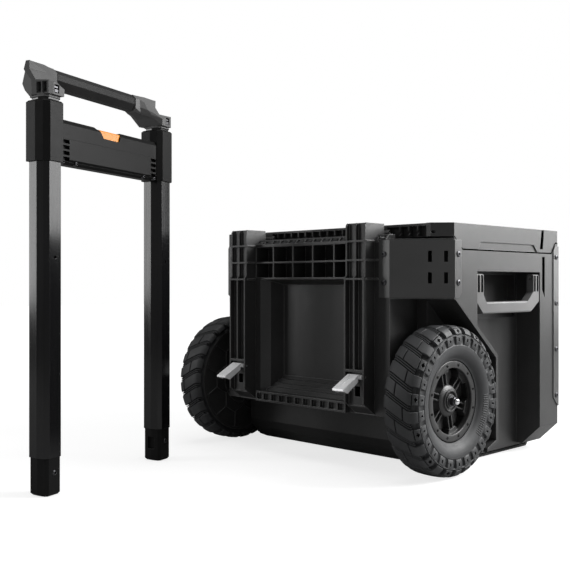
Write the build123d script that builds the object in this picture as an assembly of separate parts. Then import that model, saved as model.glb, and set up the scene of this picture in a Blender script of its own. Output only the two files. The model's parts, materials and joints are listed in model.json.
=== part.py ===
from build123d import *
import os
from math import atan2, cos, degrees, hypot, radians, sin

# Rolling tool box with a detachable telescopic handle. Millimetres.
# X runs across the box, Y from the handle side (-) to the latch side (+), Z up.
# The origin is on the floor, under the middle of the box.

os.makedirs("parts", exist_ok=True)

# ---------------------------------------------------------------- driving dimensions

# Wheels and axle
WHEEL_RADIUS = 114.3
TYRE_WIDTH = 58.5
AXLE_RADIUS = 5.0
AXLE_SETBACK = 3.0
SPACER_RADIUS = 11.0
BARREL_RADIUS = 61.5
DISC_RADIUS = 97.5
TREAD_DEPTH = 9.0
TREAD_SLOT = 7.5
LUGS = 24
SPOKES = 6
SPOKE_START = 43.0
RING_BOLTS = 12
NUT_RADIUS = 6.5
RUNNING = 0.05

# Box
CORE_WIDTH = 424.0
BODY_DEPTH = 316.5
SIDE_REACH = 45.0
WHEEL_ROOM = 39.4
SEAM_RISE = 74.5
LID_RISE = 40.5
BAND_DROP = 32.5
WALL = 4.0
DECK = 4.0
SEAM_GAP = 1.2
LID_INSET = 0.5
PLINTH_HEIGHT = 10.0
PILLAR_DEPTH = 61.5
PILLAR_BOTTOM = 46.0
HEEL_HEIGHT = 38.0
HEEL_DEPTH = 40.0
MOUTH_MARGIN = 4.0
CORNER_BLOCK = 35.0
CORNER_RISE = 22.0
CORNER_FLAT = 7.5
WELL_GAP = 4.7
FENDER = 6.0
HAND_POCKET = 15.0
HAND_POCKET_HEIGHT = 74.0
SLOT_DEPTH = 7.0

# Rear frame and handle sockets
FRAME_REACH = 62.5
SHELL = 4.0
TUBE_DEPTH = 34.0
TUBE_WIDTH = 34.0
SOCKET_CLEARANCE = 0.8
SOCKET_WALL = 2.0
COLUMN_REACH = 26.0
FIN = 2.6
FIN_REACH = 10.0
RIB_PITCH = 29.0
RIB_PROUD = 1.5
RECESS_DEPTH = 35.0
RECESS_BEND = 10.0
TRAY_REACH = 10.0
TRAY_THICKNESS = 8.0
TRAY_STEPS = 4
TRAY_CELLS = 11
CELL_DEPTH = 30.0
LEDGE_DEPTH = 25.0
LEDGE_CELLS = 18

# Lid hinge
HINGE_PIN = 2.5
KNUCKLE = 5.5
KNUCKLE_HALF = 14.0
EAR_THICKNESS = 6.0
EAR_GAP = 0.4
EAR_REACH = 6.0

# Sheet-metal corner pieces and their screws
SHEET = 1.5
FLANGE = 16.5
REAR_FLANGE = 20.0
SCREW_RADIUS = 4.6
SCREW_HEIGHT = 2.0

# Release levers
LEVER_WIDTH = 22.0
LEVER_REACH = 36.0
LEVER_PIN = 1.5

# Side handles
BAIL_THICKNESS = 13.0
BAIL_PIN = 3.0
BAIL_GAP = 1.5
BAIL_DROP = 57.0
BAIL_ARM = 18.0

# Front latches
LATCH_WIDTH = 64.0
LATCH_HEIGHT = 76.0
LATCH_DEPTH = 8.0
LATCH_PIN = 2.0

# Detached handle
HANDLE_X = -125.8
HANDLE_STAND = 298.55
HANDLE_TURN = 18.9
PLUG_HEIGHT = 52.0
SLEEVE_BOTTOM = 459.0
SLEEVE_HEIGHT = 84.0
SLEEVE_WALL = 3.0
TUBE_WALL = 2.0
SLIDE_GAP = 0.4
INNER_WALL = 1.6
TUBE_OVERLAP = 140.0
CROSSBAR_FRONT = 12.0
CROSSBAR_BACK = -15.0
LIP = 2.0
BUTTON_WIDTH = 50.5
BUTTON_MIDDLE = -4.2
BUTTON_TRAVEL = 4.0
GRIP_HEIGHT = 26.0
GRIP_OFFSET = 28.0
GRIP_HALF_DEPTH = 13.0

# ---------------------------------------------------------------- worked-out places

# Across
HALF_CORE = CORE_WIDTH / 2
HALF_WIDTH = HALF_CORE + SIDE_REACH
HALF_PLINTH = HALF_CORE - 12
TYRE_INNER_X = HALF_CORE - 2.5
TYRE_OUTER_X = TYRE_INNER_X + TYRE_WIDTH
WELL_HALF_WIDTH = TYRE_INNER_X - 7.5
HALF_FRAME = HALF_CORE - 28.5
LEG_X = HALF_FRAME - 49.5
TRAY_HALF = LEG_X - 31
HINGE_X = LEG_X - 4
LATCH_X = HALF_CORE - 62
EAR_X = KNUCKLE_HALF + EAR_GAP + EAR_THICKNESS / 2
SOCKET_X = TUBE_WIDTH + 2 * SOCKET_CLEARANCE
COLUMN_HALF = SOCKET_X / 2 + SOCKET_WALL
CELL_EDGE = LEG_X - COLUMN_HALF
BAIL_X = HALF_WIDTH - 1 - BAIL_THICKNESS / 2

# Front to back
HALF_DEPTH = BODY_DEPTH / 2
AXLE_Y = -HALF_DEPTH - AXLE_SETBACK
FRAME_Y = -HALF_DEPTH - FRAME_REACH
REAR_WALL = -HALF_DEPTH + 6.5
WELL_FRONT = AXLE_Y + WHEEL_RADIUS + WELL_GAP
RECESS_REAR = -HALF_DEPTH + 62
PILLAR_Y = HALF_DEPTH - PILLAR_DEPTH
HINGE_Y = -HALF_DEPTH - 19.75
LATCH_Y = HALF_DEPTH + 0.6 + LATCH_DEPTH / 2
COLUMN_FRONT = FRAME_Y - COLUMN_REACH
SOCKET_Y = TUBE_DEPTH + 2 * SOCKET_CLEARANCE
SOCKET_FRONT = COLUMN_FRONT + FIN_REACH + SOCKET_WALL
SOCKET_BACK = SOCKET_FRONT + SOCKET_Y
COLUMN_BACK = SOCKET_BACK + SOCKET_WALL
LEVER_Y = COLUMN_FRONT + 4.5
HANDLE_Y = FRAME_Y - HANDLE_STAND

# Up
AXLE_Z = WHEEL_RADIUS
WELL_BEND = AXLE_Z + 58.7
SHOULDER_BOTTOM = 2 * WHEEL_RADIUS + WHEEL_ROOM
SEAM_HEIGHT = SHOULDER_BOTTOM + SEAM_RISE
CORNER_HEIGHT = SEAM_HEIGHT + 18.5
LID_HEIGHT = SEAM_HEIGHT + LID_RISE
BAND_BOTTOM = SEAM_HEIGHT - BAND_DROP
TOP_RIB = SEAM_HEIGHT + 13.5
COLUMN_TOP = LID_HEIGHT + 1
HINGE_Z = CORNER_HEIGHT + 8
FRAME_BOTTOM = AXLE_Z - 26.3
SOCKET_FLOOR = FRAME_BOTTOM + 12
TRAY_TOP = FRAME_BOTTOM + 17
RECESS_BOTTOM = TRAY_TOP + 26
RECESS_TOP = SHOULDER_BOTTOM + 30
LEVER_Z = FRAME_BOTTOM + 60
BRACKET_BOTTOM = SHOULDER_BOTTOM + 1.5
BRACKET_TOP = TOP_RIB + 1
STRIP_BOTTOM = PILLAR_BOTTOM + 31
STRIP_TOP = TOP_RIB
BAIL_Z = BAND_BOTTOM - 10
BAIL_BOTTOM = BAIL_Z - BAIL_DROP
LATCH_TOP = LID_HEIGHT - 11
LATCH_BOTTOM = LATCH_TOP - LATCH_HEIGHT
SLEEVE_TOP = SLEEVE_BOTTOM + SLEEVE_HEIGHT
CROSSBAR_SEAM = SLEEVE_BOTTOM + 36
CROSSBAR_TOP = SLEEVE_BOTTOM + 62.5
BUTTON_TOP = CROSSBAR_TOP - 2
NOTCH_FLOOR = CROSSBAR_TOP - 14.5
BUTTON_LOW = NOTCH_FLOOR - 1
WELL_FLOOR = BUTTON_LOW - BUTTON_TRAVEL - 0.5
BRACKET_FOOT = SLEEVE_TOP + 7
GRIP_TOP = BRACKET_FOOT + 50
GRIP_TRAVEL = SLEEVE_TOP - TUBE_OVERLAP - PLUG_HEIGHT - 21
HALF_GRIP = LEG_X - 42


# ---------------------------------------------------------------- helpers

def block(x0, x1, y0, y1, z0, z1):
    """Box between two corners."""
    size = Box(x1 - x0, y1 - y0, z1 - z0)
    return Pos((x0 + x1) / 2, (y0 + y1) / 2, (z0 + z1) / 2) * size


def along_x(outline, x0, x1):
    """Extrude a closed (y, z) outline from x0 to x1."""
    face = make_face(Polyline(*[(x0, y, z) for y, z in outline], close=True))
    return extrude(face, amount=x1 - x0, dir=(1, 0, 0))


def along_y(outline, y0, y1):
    """Extrude a closed (x, z) outline from y0 to y1."""
    face = make_face(Polyline(*[(x, y0, z) for x, z in outline], close=True))
    return extrude(face, amount=y1 - y0, dir=(0, 1, 0))


def along_z(outline, z0, z1):
    """Extrude a closed (x, y) outline from z0 to z1."""
    face = make_face(Polyline(*[(x, y, z0) for x, y in outline], close=True))
    return extrude(face, amount=z1 - z0, dir=(0, 0, 1))


def rod_x(radius, x0, x1, y, z):
    """Round bar along X."""
    return Pos((x0 + x1) / 2, y, z) * Rot(0, 90, 0) * Cylinder(radius, x1 - x0)


def rod_y(radius, y0, y1, x, z):
    """Round bar along Y."""
    return Pos(x, (y0 + y1) / 2, z) * Rot(90, 0, 0) * Cylinder(radius, y1 - y0)


def flip(shape):
    """Mirror image on the other side of the box."""
    return mirror(shape, about=Plane.YZ)


def group(shapes):
    """Separate solids kept together in one node."""
    return Compound([solid for shape in shapes for solid in shape.solids()])


def both(shape):
    """A right-hand shape together with its left-hand mirror image."""
    return group([shape, flip(shape)])


def joined(shapes):
    """Fuse a list of shapes."""
    first, *rest = shapes
    return first.fuse(*rest) if rest else first


def ribbon(points, thickness):
    """Closed outline of a bent strip: the given line and its mitred offset to the right."""
    offsets = []
    for index, point in enumerate(points):
        before = points[max(index - 1, 0)]
        after = points[min(index + 1, len(points) - 1)]
        normals = []
        for start, end in ((before, point), (point, after)):
            length = hypot(end[0] - start[0], end[1] - start[1])
            if length:
                normals.append(((end[1] - start[1]) / length, -(end[0] - start[0]) / length))
        nx = sum(n[0] for n in normals)
        ny = sum(n[1] for n in normals)
        scale = thickness * len(normals) / (nx * nx + ny * ny)
        offsets.append((point[0] + nx * scale, point[1] + ny * scale))
    return [*points, *reversed(offsets)]


def save(name, shape):
    """Write one piece."""
    export_step(shape, f"parts/{name}.step")


# ---------------------------------------------------------------- tub

def core_outline(inset, top):
    """Side view of the tub's middle: flat base, rounded heel at the rear, bevelled toe."""
    rear = REAR_WALL + inset
    front = HALF_DEPTH - inset
    return [(rear, HEEL_HEIGHT), (rear + 8, HEEL_HEIGHT - 16), (rear + 22, inset + 7),
            (rear + HEEL_DEPTH, inset), (front - 8, inset), (front, inset + 8),
            (front, top), (rear, top)]


def well_outline(margin):
    """Side view of the wheel well, grown by a margin."""
    front = WELL_FRONT + margin
    top = SHOULDER_BOTTOM - 1 + margin
    foot = HEEL_HEIGHT - margin
    return [(FRAME_Y - 90, top), (-HALF_DEPTH + 2.6 + margin * 0.35, top),
            (front, WELL_BEND + margin * 0.45), (front, foot + 3), (front - 25, foot - 7),
            (front - 40, -30), (FRAME_Y - 90, -30)]


def well_roof(y):
    """Height of the wheel well's sloping roof."""
    start = -HALF_DEPTH + 2.6
    fall = (SHOULDER_BOTTOM - 1 - WELL_BEND) / (WELL_FRONT - start)
    return SHOULDER_BOTTOM - 1 - fall * (y - start)


def fender_outline(inset):
    """Side view of the panel and lip between the wheel well and the handle recess."""
    rear = -HALF_DEPTH + inset
    recess = RECESS_REAR - inset
    return [(rear, BAND_BOTTOM + inset), (rear, SHOULDER_BOTTOM - 1 + inset * 1.8),
            (recess, well_roof(RECESS_REAR) - 1 + inset * 2.2), (recess, BAND_BOTTOM + inset)]


def fender_lip():
    """Thin lip that follows the front of the wheel well down to the base."""
    front = WELL_FRONT
    outer = front + FENDER
    edge = RECESS_REAR - 1
    foot = HEEL_HEIGHT
    outline = [(-HALF_DEPTH + 2.6, SHOULDER_BOTTOM - 1), (front, WELL_BEND), (front, foot + 3),
               (front - 25, foot - 7), (front - 25, foot - 7 - FENDER), (outer, foot),
               (outer, WELL_BEND + FENDER * 0.5), (edge, well_roof(edge) + FENDER + 1),
               (edge, well_roof(edge) + 3 * FENDER), (-HALF_DEPTH + 2.6, SHOULDER_BOTTOM + 12)]
    return along_x(outline, HALF_CORE - 1, HALF_WIDTH)


def pillar(inset):
    """Front corner pillar with its bevelled foot."""
    x0 = HALF_CORE - 12
    x1 = HALF_WIDTH - inset
    foot = PILLAR_BOTTOM + inset
    outline = [(x0, foot - 32), (x1 - 34, foot - 32), (x1, foot), (x1, SEAM_HEIGHT - DECK),
               (x0, SEAM_HEIGHT - DECK)]
    return along_y(outline, PILLAR_Y + inset, HALF_DEPTH - inset)


def corner_horn():
    """Raised corner of the tub, which the lid's rising seam fits over."""
    x0 = HALF_WIDTH - CORNER_BLOCK
    rear = [(-HALF_DEPTH, SEAM_HEIGHT - 1), (-HALF_DEPTH + CORNER_RISE, SEAM_HEIGHT - 1),
            (-HALF_DEPTH + CORNER_RISE, SEAM_HEIGHT), (-HALF_DEPTH, CORNER_HEIGHT)]
    flat = HALF_DEPTH - CORNER_FLAT
    front = [(HALF_DEPTH, SEAM_HEIGHT - 1), (HALF_DEPTH, CORNER_HEIGHT), (flat, CORNER_HEIGHT),
             (flat - CORNER_RISE * 0.64, SEAM_HEIGHT), (flat - CORNER_RISE * 0.64, SEAM_HEIGHT - 1)]
    return [along_x(rear, x0, HALF_WIDTH), along_x(front, x0, HALF_WIDTH)]


def half_tub_outside():
    """Everything on the outside of the tub's right half."""
    band = block(0, HALF_WIDTH, -HALF_DEPTH, HALF_DEPTH, BAND_BOTTOM, SEAM_HEIGHT)
    core = along_x(core_outline(0, SEAM_HEIGHT), 0, HALF_CORE)
    low = block(HALF_PLINTH, HALF_CORE + 1, -HALF_DEPTH, HALF_DEPTH + 1, -1, PLINTH_HEIGHT)
    fender = along_x(fender_outline(0), HALF_CORE - 1, HALF_WIDTH)
    rear_rim = block(0, HALF_WIDTH - CORNER_BLOCK, -HALF_DEPTH, -HALF_DEPTH + WALL,
                     SEAM_HEIGHT - 1, CORNER_HEIGHT)
    rear_wall = block(0, HALF_CORE, -HALF_DEPTH, -HALF_DEPTH + WALL * 2, SHOULDER_BOTTOM,
                      SEAM_HEIGHT)
    shape = joined([core - low, band, pillar(0), fender, fender_lip(), rear_rim, rear_wall,
                    *corner_horn()])
    return shape - along_x(well_outline(0), WELL_HALF_WIDTH, HALF_WIDTH + 10)


def half_tub_inside():
    """The storage space in the right half, with the shelves over the recesses."""
    core = along_x(core_outline(WALL, SEAM_HEIGHT - DECK), -1, HALF_CORE - WALL)
    mouth = block(-1, HALF_CORE - MOUTH_MARGIN, -HALF_DEPTH + 15, HALF_DEPTH - 13, SEAM_HEIGHT - 12,
                  SEAM_HEIGHT + 1)
    band = block(0, HALF_WIDTH - WALL, -HALF_DEPTH + WALL, HALF_DEPTH - WALL,
                 BAND_BOTTOM + WALL, SEAM_HEIGHT - DECK)
    fender = along_x(fender_outline(WALL), HALF_CORE - 12, HALF_WIDTH - WALL)
    room = joined([core, mouth, band, pillar(WALL), fender])
    well = along_x(well_outline(WALL), WELL_HALF_WIDTH - WALL, HALF_WIDTH + 10)
    hand = hand_pocket(WALL)
    axle_pad = rod_x(SPACER_RADIUS + WALL, -1, HALF_CORE, AXLE_Y, AXLE_Z)
    return room - well - hand - axle_pad - side_slot(WALL / 2)


def hand_pocket(margin):
    """Space behind the side handle, cut deeper than the recess floor."""
    top = BAND_BOTTOM - 4 + margin
    bottom = top - HAND_POCKET_HEIGHT - 2 * margin
    x0 = HALF_CORE - HAND_POCKET - margin
    outline = [(x0, top), (x0, bottom + 14), (HALF_CORE + 1, bottom), (HALF_CORE + 1, top)]
    return along_y(outline, RECESS_REAR + 5 - margin, PILLAR_Y - 5 + margin)


def bail_pin_holes():
    """Holes for the side handle's pivot pins."""
    return rod_y(BAIL_PIN, RECESS_REAR - 6, PILLAR_Y + 6, BAIL_X, BAIL_Z)


def side_slot(margin):
    """Pointed slot in the right side, in front of the handle recess."""
    middle = PILLAR_Y + 12.5
    left = middle - 5 - margin
    right = middle + 4 + margin
    top = SEAM_HEIGHT - 6 + margin
    low = SEAM_HEIGHT - 76.5 - margin
    slot = [(left, top), (right, top), (right, low), (left, low + 14)]
    return along_x(slot, HALF_WIDTH - SLOT_DEPTH - margin, HALF_WIDTH + 1)


def make_tub():
    """Lower half of the box."""
    half = half_tub_outside() - half_tub_inside() - hand_pocket(0)
    half = half - side_slot(0) - bail_pin_holes()
    tub = half.fuse(flip(half))
    groove = rod_x(SPACER_RADIUS + SEAM_GAP, HALF_FRAME - 1, HALF_CORE, AXLE_Y, AXLE_Z)
    return tub - groove - flip(groove)


# ---------------------------------------------------------------- lid

def shoulder_outline(inset, reach):
    """Plan of the rear shoulders, which narrow along the diagonal corner faces."""
    slope = (HALF_WIDTH - HALF_FRAME) / FRAME_REACH
    x1 = HALF_WIDTH - inset
    x2 = x1 - slope * reach
    return [(x1, -HALF_DEPTH), (x2, -HALF_DEPTH - reach), (-x2, -HALF_DEPTH - reach),
            (-x1, -HALF_DEPTH)]


def horn_room(margin):
    """Space that the lid leaves for the tub's raised corners on the right."""
    gap = SEAM_GAP + margin
    x0 = HALF_WIDTH - CORNER_BLOCK - gap
    rise = (CORNER_HEIGHT - SEAM_HEIGHT) / CORNER_RISE
    rear_end = -HALF_DEPTH + CORNER_RISE + gap / rise
    flat = HALF_DEPTH - CORNER_FLAT - gap * 0.4
    foot = flat - CORNER_RISE * 0.64 - gap * 0.5
    low = SEAM_HEIGHT - 1
    rear = [(-HALF_DEPTH - 1, low), (rear_end, low), (rear_end, SEAM_HEIGHT),
            (-HALF_DEPTH, CORNER_HEIGHT + gap), (-HALF_DEPTH - 1, CORNER_HEIGHT + gap)]
    front = [(HALF_DEPTH + 1, low), (HALF_DEPTH + 1, CORNER_HEIGHT + gap),
             (flat, CORNER_HEIGHT + gap), (foot, SEAM_HEIGHT), (foot, low)]
    return [along_x(rear, x0, HALF_WIDTH + 1), along_x(front, x0, HALF_WIDTH + 1)]


def rear_rim_room(margin):
    """Space for the tub's raised rear rim between its corners."""
    gap = SEAM_GAP + margin
    half = HALF_WIDTH - CORNER_BLOCK
    return block(-half, half, -HALF_DEPTH - 1, -HALF_DEPTH + WALL + gap, SEAM_HEIGHT - 1,
                 CORNER_HEIGHT + gap)


def lid_side_panel():
    """Shallow six-sided panel pressed into the lid's side."""
    low = SEAM_HEIGHT + 2
    rear = RECESS_REAR + 3
    front = PILLAR_Y - 8
    outline = [(rear, low), (rear + 8, TOP_RIB), (front - 12, TOP_RIB), (front, low)]
    return along_x(outline, HALF_WIDTH - LID_INSET - 2, HALF_WIDTH + 1)


def lid_slot(margin):
    """Slanted slot in the lid's side, in line with the one below it."""
    middle = PILLAR_Y + 9
    low = SEAM_HEIGHT + 7 - margin
    outline = [(middle - 8 - margin, low), (middle + 2 + margin, low),
               (middle + 6 + margin, LID_HEIGHT + 1), (middle - 2 - margin, LID_HEIGHT + 1)]
    return along_x(outline, HALF_WIDTH - SLOT_DEPTH - margin, HALF_WIDTH + 1)


def lid_top_relief():
    """Raised rails and the sunk field between them on top of the lid."""
    low = LID_HEIGHT - 2.5
    high = LID_HEIGHT + 1
    half = HALF_CORE - 62
    reach = HALF_DEPTH - 48
    row = reach * 0.64
    pocket = HALF_WIDTH - 57
    field = block(-half, half, -reach, reach, low, high)
    pockets = [block(x - 26, x + 26, y - 12, y + 12, low, high)
               for x in (-pocket, pocket) for y in (-row, row)]
    bars = [block(10 - half, half - 10, y - 3, y + 3, low, LID_HEIGHT)
            for y in (-0.6 * reach, -0.2 * reach, 0.2 * reach, 0.6 * reach)]
    return joined([field, *pockets]) - joined(bars)


def lid_outside():
    """Outside of the lid, with its rear shoulders and the notch behind its middle."""
    side = HALF_WIDTH - LID_INSET
    plan = block(-side, side, -HALF_DEPTH, HALF_DEPTH, SEAM_HEIGHT + SEAM_GAP, LID_HEIGHT)
    rear_reach = -HALF_DEPTH - HINGE_Y + 3
    shoulder = along_z(shoulder_outline(LID_INSET, rear_reach), CORNER_HEIGHT + SEAM_GAP, LID_HEIGHT)
    middle = HALF_WIDTH - CORNER_BLOCK
    edge = block(-middle, middle, HINGE_Y - 4, HINGE_Y + 2, SEAM_HEIGHT, LID_HEIGHT + 1)
    notch = block(-middle, middle, HINGE_Y - 4, HINGE_Y + 9, SEAM_HEIGHT, LID_HEIGHT - 4)
    outside = plan.fuse(shoulder) - edge - notch
    for room in (*horn_room(0), rear_rim_room(0)):
        outside = outside - room - flip(room)
    return outside


def lid_inside():
    """Space inside the lid."""
    side = HALF_WIDTH - WALL
    middle = HALF_WIDTH - CORNER_BLOCK
    inside = block(-side, side, -HALF_DEPTH, HALF_DEPTH - WALL, SEAM_HEIGHT, LID_HEIGHT - WALL)
    tail = block(-middle, middle, HINGE_Y + 12, -HALF_DEPTH + 1, SEAM_HEIGHT, LID_HEIGHT - WALL)
    inside = inside.fuse(tail)
    for room in (*horn_room(WALL), rear_rim_room(WALL - 1), lid_slot(WALL / 2)):
        inside = inside - room - flip(room)
    return inside


def lid_ribs():
    """Upright ribs across the notch in the lid's back."""
    reach = HALF_WIDTH - CORNER_BLOCK - 18
    count = 12
    ribs = []
    for index in range(-count, count + 1):
        x = index * reach / count
        ribs.append(block(x - 1.2, x + 1.2, HINGE_Y - 1, HINGE_Y + 9.5, CORNER_HEIGHT + 3,
                          LID_HEIGHT - 3))
    return [rib for rib in ribs if clear_of_ears(rib)]


def make_lid():
    """Hollow lid with its tongue, hinge knuckles and latch bosses."""
    panels = lid_side_panel().fuse(lid_slot(0))
    shell = lid_outside() - lid_inside() - panels - flip(panels) - lid_top_relief()
    bosses = [lid_latch_boss(x, LATCH_Y) for x in latch_places()]
    knuckles = [lid_knuckle(x) for x in knuckle_places()]
    shell = joined([shell, tongue(), *lid_ribs(), *knuckles, *bosses])
    hinge_bore = rod_x(HINGE_PIN + RUNNING, -HALF_WIDTH, HALF_WIDTH, HINGE_Y, HINGE_Z)
    latch_bore = rod_x(LATCH_PIN, -HALF_WIDTH, HALF_WIDTH, LATCH_Y, LATCH_TOP)
    return shell - hinge_bore - latch_bore - joined(ear_rooms())


def seal_ring(grow, width, z0, z1):
    """Square ring above the tub's mouth, grown by a distance, with a given width of its side."""
    half = HALF_CORE + 1 + grow
    rear = -HALF_DEPTH + 11.25 - grow
    front = HALF_DEPTH - 8.25 + grow
    outer = block(-half, half, rear, front, z0, z1)
    inner = block(width - half, half - width, rear + width, front - width, z0 - 1, z1 + 1)
    return outer - inner


def tongue():
    """Ring under the lid that presses the gasket onto the tub's deck."""
    return seal_ring(2, 3, SEAM_HEIGHT + 5, LID_HEIGHT - WALL + 1)


def make_lid_seal():
    """Square-section rubber gasket under the lid's tongue."""
    return seal_ring(3, 5, SEAM_HEIGHT + 0.3, SEAM_HEIGHT + 5)


def knuckle_places():
    """Middles of the two hinge sets."""
    return (-HINGE_X, HINGE_X)


def ear_places():
    """Middles of the four ears on the frame."""
    return [x + side * EAR_X for x in knuckle_places() for side in (-1, 1)]


def ear_rooms():
    """Space in the lid's back for the frame's ears as the lid swings."""
    half = EAR_THICKNESS / 2 + EAR_GAP
    reach = hypot(EAR_REACH, EAR_REACH / 3) + 2 * EAR_GAP
    return [rod_x(reach, x - half, x + half, HINGE_Y, HINGE_Z) for x in ear_places()]


def clear_of_ears(rib):
    """Whether a rib stands clear of the hinge sets."""
    x = rib.center().X
    return all(abs(x - middle) > EAR_X + EAR_THICKNESS for middle in knuckle_places())


def lid_knuckle(x):
    """Hinge barrel on the back of the lid."""
    half = KNUCKLE_HALF
    barrel = rod_x(KNUCKLE, x - half, x + half, HINGE_Y, HINGE_Z)
    web = block(x - half, x + half, HINGE_Y, HINGE_Y + 10, HINGE_Z, LID_HEIGHT - 2)
    return barrel.fuse(web)


def latch_places():
    """Middles of the two front latches."""
    return (-LATCH_X, LATCH_X)


def lid_latch_boss(x, y):
    """Pair of ears that carry one latch."""
    ears = []
    for offset in (-LATCH_WIDTH / 2 - 4.4, LATCH_WIDTH / 2 + 0.4):
        outline = [(HALF_DEPTH - 1, LATCH_TOP - 7), (y, LATCH_TOP - 5), (y + 4, LATCH_TOP),
                   (y + 3, LATCH_TOP + 4), (HALF_DEPTH - 1, LATCH_TOP + 6)]
        ears.append(along_x(outline, x + offset, x + offset + 4))
    return joined(ears)


# ---------------------------------------------------------------- rear frame

def rib_heights():
    """Middles of the three level ribs that run round the sockets."""
    return [TOP_RIB - RIB_PITCH * step for step in range(3)]


def column_solid():
    """Right handle socket before its holes are cut."""
    x0 = LEG_X - COLUMN_HALF
    x1 = LEG_X + COLUMN_HALF
    shoulder = SHOULDER_BOTTOM + 32
    outline = [(COLUMN_FRONT, FRAME_BOTTOM + 20), (COLUMN_FRONT, shoulder),
               (COLUMN_FRONT + 4, shoulder + 4), (COLUMN_FRONT + 4, COLUMN_TOP - 4),
               (COLUMN_FRONT + 7, COLUMN_TOP), (COLUMN_BACK, COLUMN_TOP),
               (COLUMN_BACK, FRAME_BOTTOM - 2), (COLUMN_FRONT + 31, FRAME_BOTTOM - 2)]
    column = along_x(outline, x0, x1)
    ribs = [block(x0 - RIB_PROUD, x1 + RIB_PROUD, COLUMN_FRONT + 5, FRAME_Y - RIB_PROUD,
                  z - FIN / 2, z + FIN / 2) for z in rib_heights()]
    return joined([column, *ribs])


def column_cuts():
    """Socket, front windows, lever pocket and lever window of the right socket."""
    front = COLUMN_FRONT - 1
    cuts = [block(LEG_X - SOCKET_X / 2, LEG_X + SOCKET_X / 2, SOCKET_FRONT, SOCKET_BACK,
                  SOCKET_FLOOR, COLUMN_TOP + 1)]
    tops = [COLUMN_TOP + 1, *[z - FIN / 2 for z in rib_heights()]]
    bottoms = [*[z + FIN / 2 for z in rib_heights()], LEVER_Z + 11]
    clear = COLUMN_HALF - FIN
    for top, bottom in zip(tops, bottoms):
        for side in (-1, 1):
            edges = sorted((LEG_X + side * FIN / 2, LEG_X + side * clear))
            cuts.append(block(edges[0], edges[1], front, SOCKET_FRONT - SOCKET_WALL, bottom, top))
    pocket = block(LEG_X - clear, LEG_X + clear, front, COLUMN_FRONT + 9, FRAME_BOTTOM + 16,
                   LEVER_Z + 7.5)
    scoop = along_x([(front, FRAME_BOTTOM + 6), (COLUMN_FRONT + 9, FRAME_BOTTOM + 16.5),
                     (front, FRAME_BOTTOM + 16.5)], LEG_X - clear, LEG_X + clear)
    window = block(LEG_X - 5.5, LEG_X + 5.5, COLUMN_FRONT + 8, SOCKET_FRONT + 1, LEVER_Z - 31,
                   LEVER_Z - 15)
    pin = rod_x(LEVER_PIN, LEG_X - COLUMN_HALF - 1, LEG_X + COLUMN_HALF + 1, LEVER_Y, LEVER_Z)
    return joined([*cuts, pocket, scoop, window, pin])


def make_socket():
    """Right handle socket, set into the rear frame."""
    return column_solid() - column_cuts()


def grid_cells():
    """Deep cells between the two sockets, in two rows."""
    inner = CELL_EDGE * 0.2014
    outer = CELL_EDGE * 0.613
    dividers = [-CELL_EDGE, -outer, -inner, inner, outer, CELL_EDGE]
    middle = TOP_RIB - RIB_PITCH
    rows = [(RECESS_TOP + 3, middle - FIN / 2), (middle + FIN / 2, TOP_RIB - 2)]
    cells = []
    for low, high in rows:
        for left, right in zip(dividers, dividers[1:]):
            cells.append(block(left + FIN / 2, right - FIN / 2, FRAME_Y - 1, FRAME_Y + CELL_DEPTH,
                               low, high))
    return cells


def recess_face(depth, half, margin):
    """Upright rectangle across the panel recess, at one depth behind the frame's rear plane."""
    rise = (RECESS_BOTTOM - TRAY_TOP) / RECESS_DEPTH
    low = TRAY_TOP - TRAY_THICKNESS - margin + rise * depth
    high = RECESS_TOP + margin - depth * 9 / RECESS_DEPTH
    x = half + margin
    y = FRAME_Y + depth
    return make_face(Polyline((-x, y, low), (x, y, low), (x, y, high), (-x, y, high), close=True))


def panel_recess(margin):
    """Recess with two-facet side walls and the bare rear panel at its back."""
    mouth = recess_face(-1, TRAY_HALF, margin)
    bend = recess_face(RECESS_BEND, TRAY_HALF - 16, margin)
    back = recess_face(RECESS_DEPTH + margin, TRAY_HALF - 24, margin)
    return loft([mouth, bend]).fuse(loft([bend, back]))


def ledge_outline(depth, height):
    """Side view of a bevelled wall on the hinge ledge."""
    rim = TOP_RIB + 1.6
    return [(FRAME_Y + 1, rim), (FRAME_Y + 1 + height, rim + height), (FRAME_Y + depth, rim + height),
            (FRAME_Y + depth, rim)]


def hinge_ledge():
    """Bevelled ledge above the rim: thin walls, a top rail and solid stretches at the hinges."""
    reach = HALF_FRAME - 10
    floor = block(-reach, reach, FRAME_Y + 1, FRAME_Y + LEDGE_DEPTH, TOP_RIB - 2, TOP_RIB + 2.6)
    rail = along_x([(FRAME_Y + 8, TOP_RIB + 8.6), (FRAME_Y + 10, TOP_RIB + 10.6),
                    (FRAME_Y + 14, TOP_RIB + 10.6), (FRAME_Y + 14, TOP_RIB + 8.6)], -reach, reach)
    back = block(-reach, reach, FRAME_Y + LEDGE_DEPTH - 2, FRAME_Y + LEDGE_DEPTH, TOP_RIB, TOP_RIB + 9)
    pitch = reach / LEDGE_CELLS * 2
    walls = []
    for index in range(-LEDGE_CELLS // 2, LEDGE_CELLS // 2 + 1):
        x = index * pitch
        walls.append(along_x(ledge_outline(LEDGE_DEPTH - 1, 9), x - 1.1, x + 1.1))
    solids = []
    for x in knuckle_places():
        half = KNUCKLE_HALF + EAR_THICKNESS + 8
        solids.append(along_x(ledge_outline(LEDGE_DEPTH - 1, 5), x - half, x + half))
    return joined([floor, rail, back, *walls, *solids])


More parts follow.
